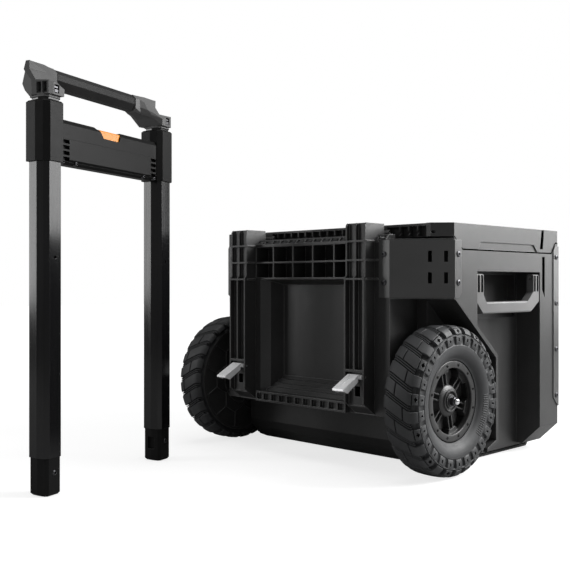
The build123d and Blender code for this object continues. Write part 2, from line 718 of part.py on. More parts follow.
def frame_ear(x):
    """Ear on the frame beside a lid knuckle."""
    reach = EAR_REACH
    half = EAR_THICKNESS / 2
    outline = [(-HALF_DEPTH - 6, TOP_RIB), (HINGE_Y - reach, TOP_RIB),
               (HINGE_Y - reach, HINGE_Z + reach / 3), (HINGE_Y - reach / 3, HINGE_Z + reach),
               (HINGE_Y + 1, HINGE_Z + reach - 2), (HINGE_Y + 1, CORNER_HEIGHT),
               (-HALF_DEPTH - 6, CORNER_HEIGHT)]
    return along_x(outline, x - half, x + half)


def frame_ribs():
    """Level ribs on the frame between each socket and the corner bracket."""
    x0 = LEG_X + COLUMN_HALF - 1
    x1 = HALF_FRAME - REAR_FLANGE - 1
    return [block(x0, x1, FRAME_Y - RIB_PROUD, FRAME_Y + 1, z - FIN / 2, z + FIN / 2)
            for z in rib_heights()]


def frame_outside():
    """Outside of the rear frame: shoulders above, narrower box below."""
    shoulder = along_z(shoulder_outline(0, FRAME_REACH), SHOULDER_BOTTOM, TOP_RIB + 2.6)
    lower = block(-HALF_FRAME, HALF_FRAME, FRAME_Y, REAR_WALL, FRAME_BOTTOM, SHOULDER_BOTTOM + 1)
    step = block(-HALF_FRAME, HALF_FRAME, -HALF_DEPTH, REAR_WALL + 1, SHOULDER_BOTTOM, LID_HEIGHT)
    return shoulder.fuse(lower) - step


def frame_inside():
    """Hollow of the rear frame, leaving the recess walls, the cell block and the axle bosses."""
    low = SHOULDER_BOTTOM + SHELL
    high = TOP_RIB - SHELL
    side = HALF_WIDTH - SHELL
    inner = HALF_FRAME - SHELL
    room_high = along_z(shoulder_outline(SHELL * 1.3, FRAME_REACH - SHELL), low, high)
    open_front = block(-side, side, -HALF_DEPTH - 1, -HALF_DEPTH + 1, low, high)
    room_low = block(-inner, inner, FRAME_Y + SHELL, REAR_WALL + 1, FRAME_BOTTOM + SHELL,
                     SHOULDER_BOTTOM + 1)
    backing = block(-LEG_X, LEG_X, FRAME_Y, FRAME_Y + CELL_DEPTH + 3, RECESS_TOP, TOP_RIB)
    pad = SPACER_RADIUS + 5
    boss = block(HALF_FRAME - 12, HALF_FRAME, AXLE_Y - pad, REAR_WALL, AXLE_Z - pad, AXLE_Z + pad)
    return joined([room_high, open_front, room_low]) - joined([backing, panel_recess(SHELL), boss,
                                                               flip(boss)])


def make_rear_frame():
    """Moulded frame behind the tub: shoulders, grid, panel recess, hinge ledge and axle bores."""
    ribs = [side for rib in frame_ribs() for side in (rib, flip(rib))]
    ears = [frame_ear(x) for x in ear_places()]
    frame = joined([frame_outside() - frame_inside(), hinge_ledge(), *ears, *ribs])
    column = column_solid()
    slots = joined(bracket_slots(40))
    frame = frame - column - flip(column) - slots - flip(slots)
    frame = frame - panel_recess(0) - joined(grid_cells())
    hinge_bore = rod_x(HINGE_PIN, -HALF_FRAME, HALF_FRAME, HINGE_Y, HINGE_Z)
    axle_bore = rod_x(AXLE_RADIUS, -HALF_WIDTH, HALF_WIDTH, AXLE_Y, AXLE_Z)
    return frame - hinge_bore - axle_bore


def tray_floor():
    """Stepped floor that lies on the sloping bottom of the panel recess."""
    run = RECESS_DEPTH / TRAY_STEPS
    rise = (RECESS_BOTTOM - TRAY_TOP) / TRAY_STEPS
    low = TRAY_TOP - 1.5 * TRAY_THICKNESS
    outline = [(FRAME_Y + RECESS_DEPTH, low), (FRAME_Y, low)]
    for step in range(TRAY_STEPS):
        y = FRAME_Y + step * run
        z = TRAY_TOP + step * rise
        outline += [(y, z), (y + 2.6, z + 1), (y + 2.6, z - 2.5)]
    outline.append((FRAME_Y + RECESS_DEPTH, RECESS_BOTTOM))
    return along_x(outline, -TRAY_HALF - 1, TRAY_HALF + 1) & panel_recess(0)


def make_dock_tray():
    """Stepped tray below the panel, with a fascia of narrow cells."""
    y0 = FRAME_Y - TRAY_REACH
    fascia = block(-TRAY_HALF, TRAY_HALF, y0, FRAME_Y, FRAME_BOTTOM, TRAY_TOP)
    pitch = (2 * TRAY_HALF + 3) / TRAY_CELLS
    gap = pitch / 2 - 1.2
    end = TRAY_HALF - 2
    cells = []
    for index in range(TRAY_CELLS):
        x = (index - (TRAY_CELLS - 1) / 2) * pitch
        cells.append(block(max(x - gap, -end), min(x + gap, end), y0 - 1, y0 + 6,
                           FRAME_BOTTOM + 3, TRAY_TOP - 3))
    return (fascia - joined(cells)).fuse(tray_floor())


# ---------------------------------------------------------------- sheet-metal corners

def rear_bracket_line():
    """Plan of the right rear bracket's inner face, from its side flange to its rear flange."""
    return [(HALF_WIDTH, -HALF_DEPTH + FLANGE), (HALF_WIDTH, -HALF_DEPTH), (HALF_FRAME, FRAME_Y),
            (HALF_FRAME - REAR_FLANGE, FRAME_Y)]


def face_frame():
    """Unit direction along the diagonal face and its outward normal."""
    length = hypot(HALF_WIDTH - HALF_FRAME, FRAME_REACH)
    along = ((HALF_WIDTH - HALF_FRAME) / length, FRAME_REACH / length)
    return along, (along[1], -along[0]), length


def on_face(distance, height):
    """Place on the diagonal face, at a distance from its rear edge."""
    along, _, _ = face_frame()
    angle = degrees(atan2(along[1], along[0]))
    return Pos(HALF_FRAME + along[0] * distance, FRAME_Y + along[1] * distance,
               height) * Rot(0, 0, angle)


def bracket_slots(depth):
    """Four upright slots in the diagonal face, cut to a given depth."""
    _, _, length = face_frame()
    heights = (BRACKET_TOP - 25, BRACKET_TOP - 57.5)
    return [on_face(x, z) * Box(6, depth, 17) for x in (length - 36.5, length - 12.5)
            for z in heights]


def make_rear_bracket():
    """Bent sheet over the right rear corner, with four slots and clipped flange corners."""
    outline = ribbon(rear_bracket_line(), -SHEET)
    sheet = along_z(outline, BRACKET_BOTTOM, BRACKET_TOP)
    y = -HALF_DEPTH + 9
    clip = along_x([(y, BRACKET_BOTTOM - 1), (y + 21, BRACKET_BOTTOM - 1), (y + 21, BRACKET_BOTTOM + 22)],
                   HALF_WIDTH - 1, HALF_WIDTH + 5)
    x = HALF_FRAME - REAR_FLANGE
    corner = along_y([(x - 1, BRACKET_TOP + 1), (x + 4, BRACKET_TOP + 1), (x - 1, BRACKET_TOP - 4)],
                     FRAME_Y - 5, FRAME_Y + 1)
    return sheet - joined(bracket_slots(12)) - clip - corner


def make_front_strip():
    """Bent sheet over the right front corner."""
    line = [(HALF_WIDTH - FLANGE, HALF_DEPTH), (HALF_WIDTH, HALF_DEPTH),
            (HALF_WIDTH, HALF_DEPTH - FLANGE)]
    sheet = along_z(ribbon(line, -SHEET), STRIP_BOTTOM, STRIP_TOP)
    y0 = HALF_DEPTH - FLANGE - 1
    foot = [(y0, STRIP_BOTTOM - 1), (y0 + FLANGE, STRIP_BOTTOM - 1), (y0, STRIP_BOTTOM + FLANGE)]
    head = [(y0, STRIP_TOP + 1), (y0 + 8, STRIP_TOP + 1), (y0, STRIP_TOP - 9)]
    clips = [along_x(outline, HALF_WIDTH - 0.5, HALF_WIDTH + 5) for outline in (foot, head)]
    return sheet - joined(clips)


def button_screw(radius, height):
    """Low domed screw head standing on its z = 0 plane."""
    head = Cylinder(radius, height, align=(Align.CENTER, Align.CENTER, Align.MIN))
    socket = Pos(0, 0, height) * extrude(RegularPolygon(radius * 0.5, 6), amount=1.6, both=True)
    return chamfer(head.edges().sort_by(Axis.Z)[-1], height * 0.4) - socket


def screw_on_side(y, z):
    """Screw head on the right side face, over the sheet."""
    return Pos(HALF_WIDTH + SHEET, y, z) * Rot(0, 90, 0) * button_screw(SCREW_RADIUS, SCREW_HEIGHT)


def screw_on_rear(x, z):
    """Screw head on the frame's rear plane, over the sheet."""
    return Pos(x, FRAME_Y - SHEET, z) * Rot(90, 0, 0) * button_screw(SCREW_RADIUS, SCREW_HEIGHT)


def make_bracket_screws():
    """Screws of the rear brackets and front strips."""
    flange_y = -HALF_DEPTH + FLANGE / 2
    screws = []
    for z in (BRACKET_TOP - 21.5, BRACKET_BOTTOM + 23):
        screws.append(screw_on_side(flange_y, z))
        screws.append(screw_on_rear(HALF_FRAME - REAR_FLANGE / 2, z))
    low = STRIP_BOTTOM + 19
    rise = (STRIP_TOP - 19 - low) / 3
    for step in range(4):
        screws.append(screw_on_side(HALF_DEPTH - FLANGE / 2 + 1, low + step * rise))
    return both(group(screws))


# ---------------------------------------------------------------- side handles

def make_side_handle():
    """Right side handle: a bail that hangs in its recess."""
    rear = RECESS_REAR + BAIL_GAP
    front = PILLAR_Y - BAIL_GAP
    top = BAIL_Z + BAIL_THICKNESS / 2
    arm = BAIL_ARM
    knee = BAIL_BOTTOM + 18
    x0 = BAIL_X - BAIL_THICKNESS / 2
    x1 = BAIL_X + BAIL_THICKNESS / 2
    outer = [(rear, top), (rear, knee), (rear + 18, BAIL_BOTTOM), (front - 28, BAIL_BOTTOM),
             (front, knee), (front, top)]
    inner = [(rear + arm, top + 1), (rear + arm, knee + 12), (rear + arm + 8, knee + 1),
             (front - arm - 18, knee + 1), (front - arm, knee + 16), (front - arm, top + 1)]
    bail = along_x(outer, x0, x1) - along_x(inner, x0 - 1, x1 + 1)
    edges = [edge for edge in bail.edges().filter_by(Axis.Y)
             if edge.center().Z < knee + 2 and edge.length > 60]
    bail = fillet(edges, 3.0)
    tops = bail.edges().filter_by(Axis.Y).group_by(Axis.Z)[-1]
    bail = fillet(tops, 4.0)
    bore = rod_y(BAIL_PIN + RUNNING, rear - 1, front + 1, BAIL_X, BAIL_Z)
    return bail - joined(bail_slots(rear, front, x1)) - bore


def bail_slots(rear, front, face):
    """Three upright slots in each arm of the side handle, deeper below its pivot."""
    pitch = BAIL_ARM / 3.6
    half = pitch * 0.3
    low = BAIL_Z - BAIL_ARM * 1.25
    slots = []
    for middle in (rear + BAIL_ARM / 2, front - BAIL_ARM / 2):
        for y in (middle - pitch, middle, middle + pitch):
            slots.append(block(face - 3, face + 1, y - half, y + half, low, BAIL_Z + 3))
            slots.append(block(face - 8, face + 1, y - half, y + half, low, BAIL_Z - 5))
    return slots


def make_side_handle_pins():
    """Four pivot pins, held in the tub and running in the bails."""
    x = BAIL_X
    rear = rod_y(BAIL_PIN, RECESS_REAR - 4, RECESS_REAR + BAIL_GAP + BAIL_ARM - 3, x, BAIL_Z)
    front = rod_y(BAIL_PIN, PILLAR_Y - BAIL_GAP - BAIL_ARM + 3, PILLAR_Y + 4, x, BAIL_Z)
    return both(group([rear, front]))


# ---------------------------------------------------------------- release levers

def make_release_lever():
    """Right release lever: a sloping pad with side tabs on its pivot barrel."""
    half = LEVER_WIDTH / 2
    front = COLUMN_FRONT
    tip = front - LEVER_REACH
    z = LEVER_Z
    pad = [(LEVER_Y - 1, z + 4), (front - 1, z + 4), (tip, z - 15), (tip - 1, z - 18),
           (tip + 2, z - 19.5), (front, z - 2), (LEVER_Y - 1, z - 3)]
    plate = along_x(pad, LEG_X - half, LEG_X + half)
    barrel = rod_x(3.6, LEG_X - half - 3, LEG_X + half + 3, LEVER_Y, z)
    under = [(tip + 2, z - 19), (tip + 10, z - 22), (front - 2, z - 7), (front - 2, z - 2),
             (tip + 6, z - 16)]
    tabs = [along_x(under, x, x + 3) for x in (LEG_X - half, LEG_X + half - 3)]
    groove = [(front - 3, z + 4), (tip + 3, z - 12.2), (tip + 3.6, z - 13.3), (front - 2.4, z + 2.6)]
    grooves = [along_x(groove, x - 1.2, x + 1.2) for x in (LEG_X - 5, LEG_X + 1)]
    bore = rod_x(LEVER_PIN + RUNNING, LEG_X - half - 4, LEG_X + half + 4, LEVER_Y, z)
    return joined([plate, barrel, *tabs]) - joined(grooves) - bore


def make_lever_pins():
    """Pivot pins of both levers, held in the columns' outer fins."""
    pin = rod_x(LEVER_PIN, LEG_X - COLUMN_HALF, LEG_X + COLUMN_HALF, LEVER_Y, LEVER_Z)
    return both(pin)


# ---------------------------------------------------------------- latches

def make_latch(x):
    """Front latch plate, hollow behind, pivoting under the lid's front edge."""
    y = LATCH_Y
    y0 = y - LATCH_DEPTH / 2
    y1 = y + LATCH_DEPTH / 2
    outline = [(y0, LATCH_TOP), (y0 + 2, LATCH_TOP + 3.6), (y1 - 2, LATCH_TOP + 3.6),
               (y1, LATCH_TOP - 2), (y1, LATCH_BOTTOM + 12), (y1 + 5, LATCH_BOTTOM + 2),
               (y1 + 4, LATCH_BOTTOM), (y0 + 4, LATCH_BOTTOM), (y0, LATCH_BOTTOM + 8)]
    plate = along_x(outline, x - LATCH_WIDTH / 2, x + LATCH_WIDTH / 2)
    hollow = block(x - LATCH_WIDTH / 2 + 4, x + LATCH_WIDTH / 2 - 4, y0 - 1, y1 - 3,
                   LATCH_BOTTOM - 1, LATCH_TOP - 10)
    scoop = block(x - 16, x + 16, y1 - 1.2, y1 + 1, LATCH_BOTTOM + 20, LATCH_TOP - 16)
    bore = rod_x(LATCH_PIN + RUNNING, x - LATCH_WIDTH, x + LATCH_WIDTH, y, LATCH_TOP)
    return plate - hollow - scoop - bore


def make_latch_pins():
    """Pins through the latches and the lid's ears."""
    pins = [rod_x(LATCH_PIN, x - LATCH_WIDTH / 2 - 4.4, x + LATCH_WIDTH / 2 + 4.4, LATCH_Y,
                  LATCH_TOP) for x in latch_places()]
    return group(pins)


def make_latch_catches():
    """Catch blocks on the tub, inside the latches' hollows."""
    top = SEAM_HEIGHT - 6.5
    outline = [(HALF_DEPTH, top), (HALF_DEPTH + 3.2, top - 4), (HALF_DEPTH + 3.2, top - 10),
               (HALF_DEPTH, top - 16)]
    catches = [along_x(outline, x - 20, x + 20) for x in latch_places()]
    return group(catches)


def make_hinge_pins():
    """Lid hinge pins."""
    half = KNUCKLE_HALF + EAR_GAP + EAR_THICKNESS
    pins = [rod_x(HINGE_PIN, x - half, x + half, HINGE_Y, HINGE_Z) for x in knuckle_places()]
    return group(pins)


# ---------------------------------------------------------------- wheels and axle

def turned(outline):
    """Revolve a closed (x, radius) outline about the X axis."""
    return revolve(make_face(Polyline(*outline, close=True)), Axis.X, 360)


def spun(shape, count, start=0.0):
    """Copies of a shape, evenly spaced about the X axis."""
    return [Rot(start + 360 / count * index, 0, 0) * shape for index in range(count)]


def make_tyre():
    """Tyre with staggered rows of lugs, open towards the rim."""
    inner = TYRE_INNER_X
    outer = TYRE_OUTER_X
    crown = (inner + outer) / 2
    radius = WHEEL_RADIUS
    bead = BARREL_RADIUS
    outside = [(inner + 6, bead), (inner + 6, DISC_RADIUS), (inner, DISC_RADIUS), (inner, radius - 10),
               (inner + 5, radius - 2.6), (crown - 12, radius), (crown + 12, radius),
               (outer - 6, radius - 2.8), (outer - 2, radius - 7), (outer, radius - 14),
               (outer - 1.5, radius - 29), (outer - 8, bead + 6.5), (outer - 12.5, bead),
               (outer - 18, bead), (outer - 18, bead + 9), (outer - 12, radius - 30),
               (outer - 12, radius - 15), (outer - 18, radius - 12), (inner + 15, radius - 12),
               (inner + 13, radius - 18), (inner + 13, bead)]
    tyre = turned(outside)
    slots = []
    for x, turn, start in ((inner + 9, 24, 0), (outer - 9, -24, 0.5)):
        slot = Pos(x, 0, radius) * Rot(0, 0, turn) * Box(TYRE_WIDTH / 2, TREAD_SLOT, 2 * TREAD_DEPTH)
        slots += spun(slot, LUGS, start * 360 / LUGS)
    return tyre - slots


def spoke_windows():
    """Wide windows between spoke pairs and the slit inside each pair, in the (y, z) plane."""
    inner = 24.0
    outer = BARREL_RADIUS - 12.5
    thick = 2.4
    gap = 4.2
    half = radians(180 / SPOKES)
    cuts = []
    for index in range(SPOKES):
        base = radians(SPOKE_START + 360 / SPOKES * index)
        edge = gap / 2 + thick
        corners = []
        for radius, sign in ((inner, 1), (outer, 1), (outer, -1), (inner, -1)):
            angle = base + half - sign * (half - (edge + 1.5) / radius)
            corners.append((radius * cos(angle), radius * sin(angle)))
        corners.insert(2, (outer * cos(base + half), outer * sin(base + half)))
        cuts.append(corners)
        side = (-sin(base), cos(base))
        ray = (cos(base), sin(base))
        slit = [(ray[0] * r + side[0] * s * gap / 2, ray[1] * r + side[1] * s * gap / 2)
                for r, s in ((inner, 1), (outer - 1, 1), (outer - 1, -1), (inner, -1))]
        cuts.append(slit)
    return cuts


def rim_boss():
    """Outline of the boss where a spoke pair meets the barrel, in the (y, z) plane."""
    corners = []
    for radius, spread in ((BARREL_RADIUS - 18, -11), (BARREL_RADIUS - 18, 11),
                           (BARREL_RADIUS - 10, 15.5), (BARREL_RADIUS - 10, -15.5)):
        angle = radians(SPOKE_START + spread)
        corners.append((radius * cos(angle), radius * sin(angle)))
    return corners


def make_rim():
    """Moulded rim: barrel, spoked face with bosses, and ribbed inner disc."""
    inner = TYRE_INNER_X
    hub = 17.0
    bush = 10.5
    barrel = BARREL_RADIUS
    barrel_ring = turned([(inner + 5.9, barrel - 4), (inner + 41, barrel - 4), (inner + 41, barrel),
                          (inner + 5.9, barrel)])
    disc = turned([(inner + 2.5, bush), (inner + 2.5, DISC_RADIUS), (inner + 6, DISC_RADIUS),
                   (inner + 6, bush)])
    face = turned([(inner + 34, bush), (inner + 34, barrel - 3.5), (inner + 40, barrel - 3.5),
                   (inner + 40, 25), (inner + 43, 20), (inner + 43, bush)])
    hub_tube = turned([(inner + 1.3, bush), (inner + 1.3, hub), (inner + 43.5, hub),
                       (inner + 43.5, bush)])
    windows = [along_x(outline, inner + 33, inner + 44) for outline in spoke_windows()]
    bosses = spun(along_x(rim_boss(), inner + 34, inner + 40.6), SPOKES)
    ribs = spun(block(inner + 0.3, inner + 2.6, -1.2, 1.2, hub, DISC_RADIUS - 4), 9)
    rings = [turned([(inner + 0.3, r), (inner + 0.3, r + 2.4), (inner + 2.6, r + 2.4),
                     (inner + 2.6, r)]) for r in (36, 66)]
    return joined([barrel_ring, disc, face - joined(windows), hub_tube, *bosses, *ribs, *rings])


def make_bead_ring():
    """Outer ring over the tyre's bead."""
    x0 = TYRE_INNER_X + 41
    edge = BARREL_RADIUS - 0.3
    return turned([(x0, edge - 11), (x0 + 4.5, edge - 11), (x0 + 6, edge - 9), (x0 + 6, edge - 2.7),
                   (x0 + 4.6, edge), (x0, edge)])


def make_ring_bolts():
    """Bolt heads around the bead ring."""
    bolt = Pos(TYRE_INNER_X + 47, 0, BARREL_RADIUS - 6.3) * Rot(0, 90, 0) * button_screw(1.9, 1.4)
    return group([seated(copy) for copy in spun(bolt, RING_BOLTS, 15)])


def make_bush():
    """Plain bush in the rim's hub."""
    x0 = TYRE_INNER_X + 1.3
    x1 = TYRE_INNER_X + 43.5
    bore = AXLE_RADIUS + RUNNING
    return turned([(x0, bore), (x1, bore), (x1, 10.5), (x0, 10.5)])


def seated(shape):
    """Move a wheel piece from its own axis to the axle."""
    return Pos(0, AXLE_Y, AXLE_Z) * shape


def make_axle():
    """Through axle."""
    end = TYRE_OUTER_X - 7
    return rod_x(AXLE_RADIUS, -end, end, AXLE_Y, AXLE_Z)


def make_axle_spacers():
    """Spacer tubes between the rear frame and the wheels."""
    spacer = seated(turned([(HALF_FRAME, AXLE_RADIUS), (TYRE_INNER_X + 1, AXLE_RADIUS),
                            (TYRE_INNER_X + 1, SPACER_RADIUS), (HALF_FRAME, SPACER_RADIUS)]))
    return both(spacer)


def make_axle_nuts():
    """Domed nut with a collar on each end of the axle."""
    x0 = TYRE_INNER_X + 43.8
    end = TYRE_OUTER_X - 7
    nut = turned([(x0, AXLE_RADIUS), (x0, NUT_RADIUS + 2), (x0 + 1.5, NUT_RADIUS + 2),
                  (x0 + 1.5, NUT_RADIUS), (end - 1, NUT_RADIUS), (end, NUT_RADIUS - 1.3),
                  (end + 3.5, NUT_RADIUS - 1.6), (end + 5, NUT_RADIUS - 3.5), (end + 5.5, 0), (end, 0),
                  (end, AXLE_RADIUS)])
    return both(seated(nut))


# ---------------------------------------------------------------- detached handle

def stood(shape):
    """Move a handle piece from its own frame to where the handle stands."""
    return Pos(HANDLE_X, HANDLE_Y, 0) * Rot(0, 0, HANDLE_TURN) * shape


def leg_outline(grow):
    """Faceted section of a handle leg, grown by a distance; x is its depth, y its width."""
    x = TUBE_DEPTH / 2 + grow
    y = TUBE_WIDTH / 2 + grow
    big = 5.5 + grow * 0.5
    return [(-x, y - 3), (-1, y), (x - big, y), (x, y - big), (x, big - y), (x - big, -y), (-1, -y),
            (-x, 3 - y)]


def leg(grow, z0, z1):
    """Straight length of the leg section."""
    return along_z(leg_outline(grow), z0, z1)


def at_legs(shape):
    """The two places across the handle's width."""
    return [Pos(0, side * LEG_X, 0) * shape for side in (-1, 1)]


def make_leg_tube():
    """Outer tube of one leg."""
    tube = leg(0, PLUG_HEIGHT, SLEEVE_TOP - 3) - leg(-TUBE_WALL, PLUG_HEIGHT - 1, SLEEVE_TOP)
    hole = Pos(TUBE_DEPTH / 2, 0, PLUG_HEIGHT + 275) * Rot(0, 90, 0) * Cylinder(2.2, 8)
    return tube - hole


def make_foot_plug(side):
    """Foot plug of one leg, with its latch window on the side that faces the other leg."""
    body = leg(-1.2, 0, PLUG_HEIGHT)
    body = chamfer(body.edges().group_by(Axis.Z)[0], 3.0)
    spigot = leg(-TUBE_WALL, PLUG_HEIGHT, PLUG_HEIGHT + 12)
    inward = sorted((-side * 11, -side * 30))
    window = block(-9, 5, inward[0], inward[1], 19, 39)
    rivet = Pos(TUBE_DEPTH / 2 - 2.2, 0, 31) * Rot(0, 90, 0) * Cylinder(4.2, 2.2)
    return body.fuse(spigot) - window - rivet


def make_foot_rivet():
    """Rivet head in the front of a foot plug."""
    base = Pos(TUBE_DEPTH / 2 - 3.3, 0, 31) * Rot(0, 90, 0)
    return base * chamfer(Cylinder(4.0, 3.4, align=(Align.CENTER, Align.CENTER, Align.MIN))
                          .edges().sort_by(Axis.Z)[-1], 1.0)


def crossbar_outline(z0, z1, low_bevel, high_bevel):
    """Side view of the crossbar, in the (x, z) plane."""
    front = CROSSBAR_FRONT
    back = CROSSBAR_BACK
    return [(back, z0 + low_bevel), (back + low_bevel * 0.8, z0), (front - low_bevel, z0),
            (front, z0 + low_bevel), (front, z1 - high_bevel), (front - high_bevel * 0.6, z1),
            (back + high_bevel * 0.8, z1), (back, z1 - high_bevel)]


def button_room():
    """Notch in the crossbar for the release button, behind a thin front lip."""
    left = BUTTON_MIDDLE - BUTTON_WIDTH / 2
    right = BUTTON_MIDDLE + BUTTON_WIDTH / 2
    top = CROSSBAR_TOP + 1
    back = -6.4
    inside = CROSSBAR_FRONT - LIP
    lip = [(left - 13, top), (left - 1, CROSSBAR_TOP - 3.5), (left + 8, NOTCH_FLOOR),
           (right - 5, NOTCH_FLOOR), (right + 0.5, top)]
    room = [(left - 13, top), (left - 4, CROSSBAR_TOP - 3.5), (left - 1, WELL_FLOOR),
            (right + 1, WELL_FLOOR), (right + 1, top)]
    cuts = []
    for outline, x0, x1 in ((lip, inside - 1, CROSSBAR_FRONT + 1), (room, back, inside)):
        face = make_face(Polyline(*[(x0, y, z) for y, z in outline], close=True))
        cuts.append(extrude(face, amount=x1 - x0, dir=(1, 0, 0)))
    cuts.append(block(back, 8.4, left + 10, right - 10, CROSSBAR_SEAM + 2, WELL_FLOOR + 1))
    return joined(cuts)


def make_crossbar_housing():
    """Sleeves around the tubes and the upper half of the crossbar between them."""
    sleeves = []
    for sleeve in at_legs(leg(SLEEVE_WALL, SLEEVE_BOTTOM, SLEEVE_TOP)):
        sleeve = chamfer(sleeve.edges().group_by(Axis.Z)[-1], 2.5)
        sleeves.append(sleeve)
    bar = along_y(crossbar_outline(CROSSBAR_SEAM, CROSSBAR_TOP, 0.01, 6.0), -LEG_X, LEG_X)
    housing = joined([*sleeves, bar])
    for bore in at_legs(leg(0, SLEEVE_BOTTOM - 1, SLEEVE_TOP - 3)):
        housing = housing - bore
    for mouth in at_legs(leg(-TUBE_WALL + 0.2, SLEEVE_TOP - 4, SLEEVE_TOP + 1)):
        housing = housing - mouth
    hollow = block(CROSSBAR_BACK + 3, CROSSBAR_FRONT - 3, -LEG_X + 30, LEG_X - 30,
                   CROSSBAR_SEAM - 1, CROSSBAR_SEAM + 8)
    return housing - button_room() - hollow


def make_crossbar_cover():
    """Lower half of the crossbar, with vent slots at both ends."""
    inner = LEG_X - TUBE_WIDTH / 2 - SLEEVE_WALL
    bar = along_y(crossbar_outline(SLEEVE_BOTTOM, CROSSBAR_SEAM - 0.01, 7.0, 0.01), -inner, inner)
    hollow = block(CROSSBAR_BACK + 3, CROSSBAR_FRONT - 3, -inner + 18, inner - 18,
                   SLEEVE_BOTTOM + 4, CROSSBAR_SEAM + 1)
    slots = []
    for side in (-1, 1):
        for index in range(4):
            z = SLEEVE_BOTTOM + 7.5 + index * 8.1
            middle = side * (inner - 8.5)
            slots.append(block(CROSSBAR_FRONT - 6, CROSSBAR_FRONT + 1, middle - 7, middle + 7,
                               z - 2.6, z + 2.6))
    return bar - joined([hollow, *slots])


def make_cover_screws():
    """Screw heads in the crossbar's lower bevel."""
    inner = LEG_X - TUBE_WIDTH / 2 - SLEEVE_WALL
    screws = []
    for y in (4 - inner, 32 - inner, inner - 32, inner - 4):
        seat = Pos(CROSSBAR_FRONT - 3.5, y, SLEEVE_BOTTOM + 3.5) * Rot(0, 135, 0)
        screws.append(stood(seat * button_screw(3.4, 1.2)))
    return group(screws)


def make_release_button():
    """Thumb button behind the crossbar's lip, with its stem."""
    left = BUTTON_MIDDLE - BUTTON_WIDTH / 2
    right = BUTTON_MIDDLE + BUTTON_WIDTH / 2
    outline = [(left, BUTTON_TOP), (left + 7, BUTTON_LOW), (right - 4, BUTTON_LOW),
               (right, BUTTON_TOP)]
    face = make_face(Polyline(*[(-6, y, z) for y, z in outline], close=True))
    cap = extrude(face, amount=CROSSBAR_FRONT - LIP - 0.4 + 6, dir=(1, 0, 0))
    cap = chamfer(cap.edges().filter_by(Axis.Y).group_by(Axis.Z)[-1], 1.8)
    stem = block(-5, 7, left + 12, right - 12, CROSSBAR_SEAM + 3 + BUTTON_TRAVEL, BUTTON_LOW + 0.5)
    return cap.fuse(stem)


def make_inner_tube():
    """Inner tube that slides in one leg."""
    gap = -TUBE_WALL - SLIDE_GAP
    low = SLEEVE_TOP - TUBE_OVERLAP - GRIP_TRAVEL
    top = BRACKET_FOOT + 4
    return leg(gap, low, top) - leg(gap - INNER_WALL, low - 1, top - 5)


def bracket_side():
    """Side view of an end bracket, in the (x, z) plane."""
    foot = BRACKET_FOOT
    return [(-27, foot), (20, foot), (21, foot + 10), (9, foot + 18), (-6, foot + 34),
            (-16, GRIP_TOP - 1), (-24, GRIP_TOP - 1), (-32, foot + 36), (-41, foot + 21)]


def make_end_bracket(side):
    """Elbow between an inner tube and the grip, grooved and hollowed on its outer end."""
    foot = BRACKET_FOOT
    far = LEG_X + TUBE_WIDTH / 2 - 1
    near = HALF_GRIP
    inside = LEG_X - TUBE_WIDTH / 2 + 2
    body = along_y(bracket_side(), near, far)
    front = [(near, GRIP_TOP + 5), (far - 4, GRIP_TOP + 5), (far, GRIP_TOP - 4), (far, foot - 1),
             (inside, foot - 1), (inside, foot + 5), (inside - 6, foot + 13), (inside - 15, foot + 19),
             (near, foot + 22)]
    face = make_face(Polyline(*[(-60, y, z) for y, z in front], close=True))
    body = body & extrude(face, amount=100, dir=(1, 0, 0))
    collar = Pos(0, LEG_X, 0) * leg(-0.8, foot - 3.4, foot - 1.6)
    neck = Pos(0, LEG_X, 0) * leg(-1.8, foot - 1.8, foot + 1)
    body = joined([body, collar, neck])
    bore = Pos(0, LEG_X, 0) * leg(-TUBE_WALL - SLIDE_GAP, foot - 4, foot + 4)
    groove = along_y([(-25, GRIP_TOP + 1), (-33, foot + 36), (-16.5, foot + 19), (-7, foot + 19),
                      (-22, foot + 37), (-17, GRIP_TOP + 1)], far - 2.5, far + 1)
    step = block(-16.5, -9, far - 2, far + 1, foot + 2, foot + 19.5)
    hollows = [block(x0, x1, far - 10, far + 1, foot + 5, foot + 18.6)
               for x0, x1 in ((-6, -1), (0.4, 9.5))]
    window = block(13, 25, far - 20, far - 5, foot + 2.5, foot + 8.5)
    body = body - joined([bore, groove, step, window, *hollows])
    return body if side > 0 else mirror(body, about=Plane.XZ)


def make_grip_bar():
    """Faceted grip between the end brackets."""
    top = GRIP_TOP - 1.6
    low = top - GRIP_HEIGHT
    x = -GRIP_OFFSET
    half = GRIP_HALF_DEPTH
    outline = [(x - half, low + 8), (x - half, top - 7), (x - half + 7, top), (x + half - 7, top),
               (x + half, top - 7), (x + half, low + 10), (x + half - 6, low), (x - half + 6, low)]
    return along_y(outline, -HALF_GRIP, HALF_GRIP)


# ---------------------------------------------------------------- build everything

save("tub", make_tub())
save("lid", make_lid())
save("lid_seal", make_lid_seal())
save("lid_hinge_pins", make_hinge_pins())
save("rear_frame", make_rear_frame())
save("dock_tray", make_dock_tray())

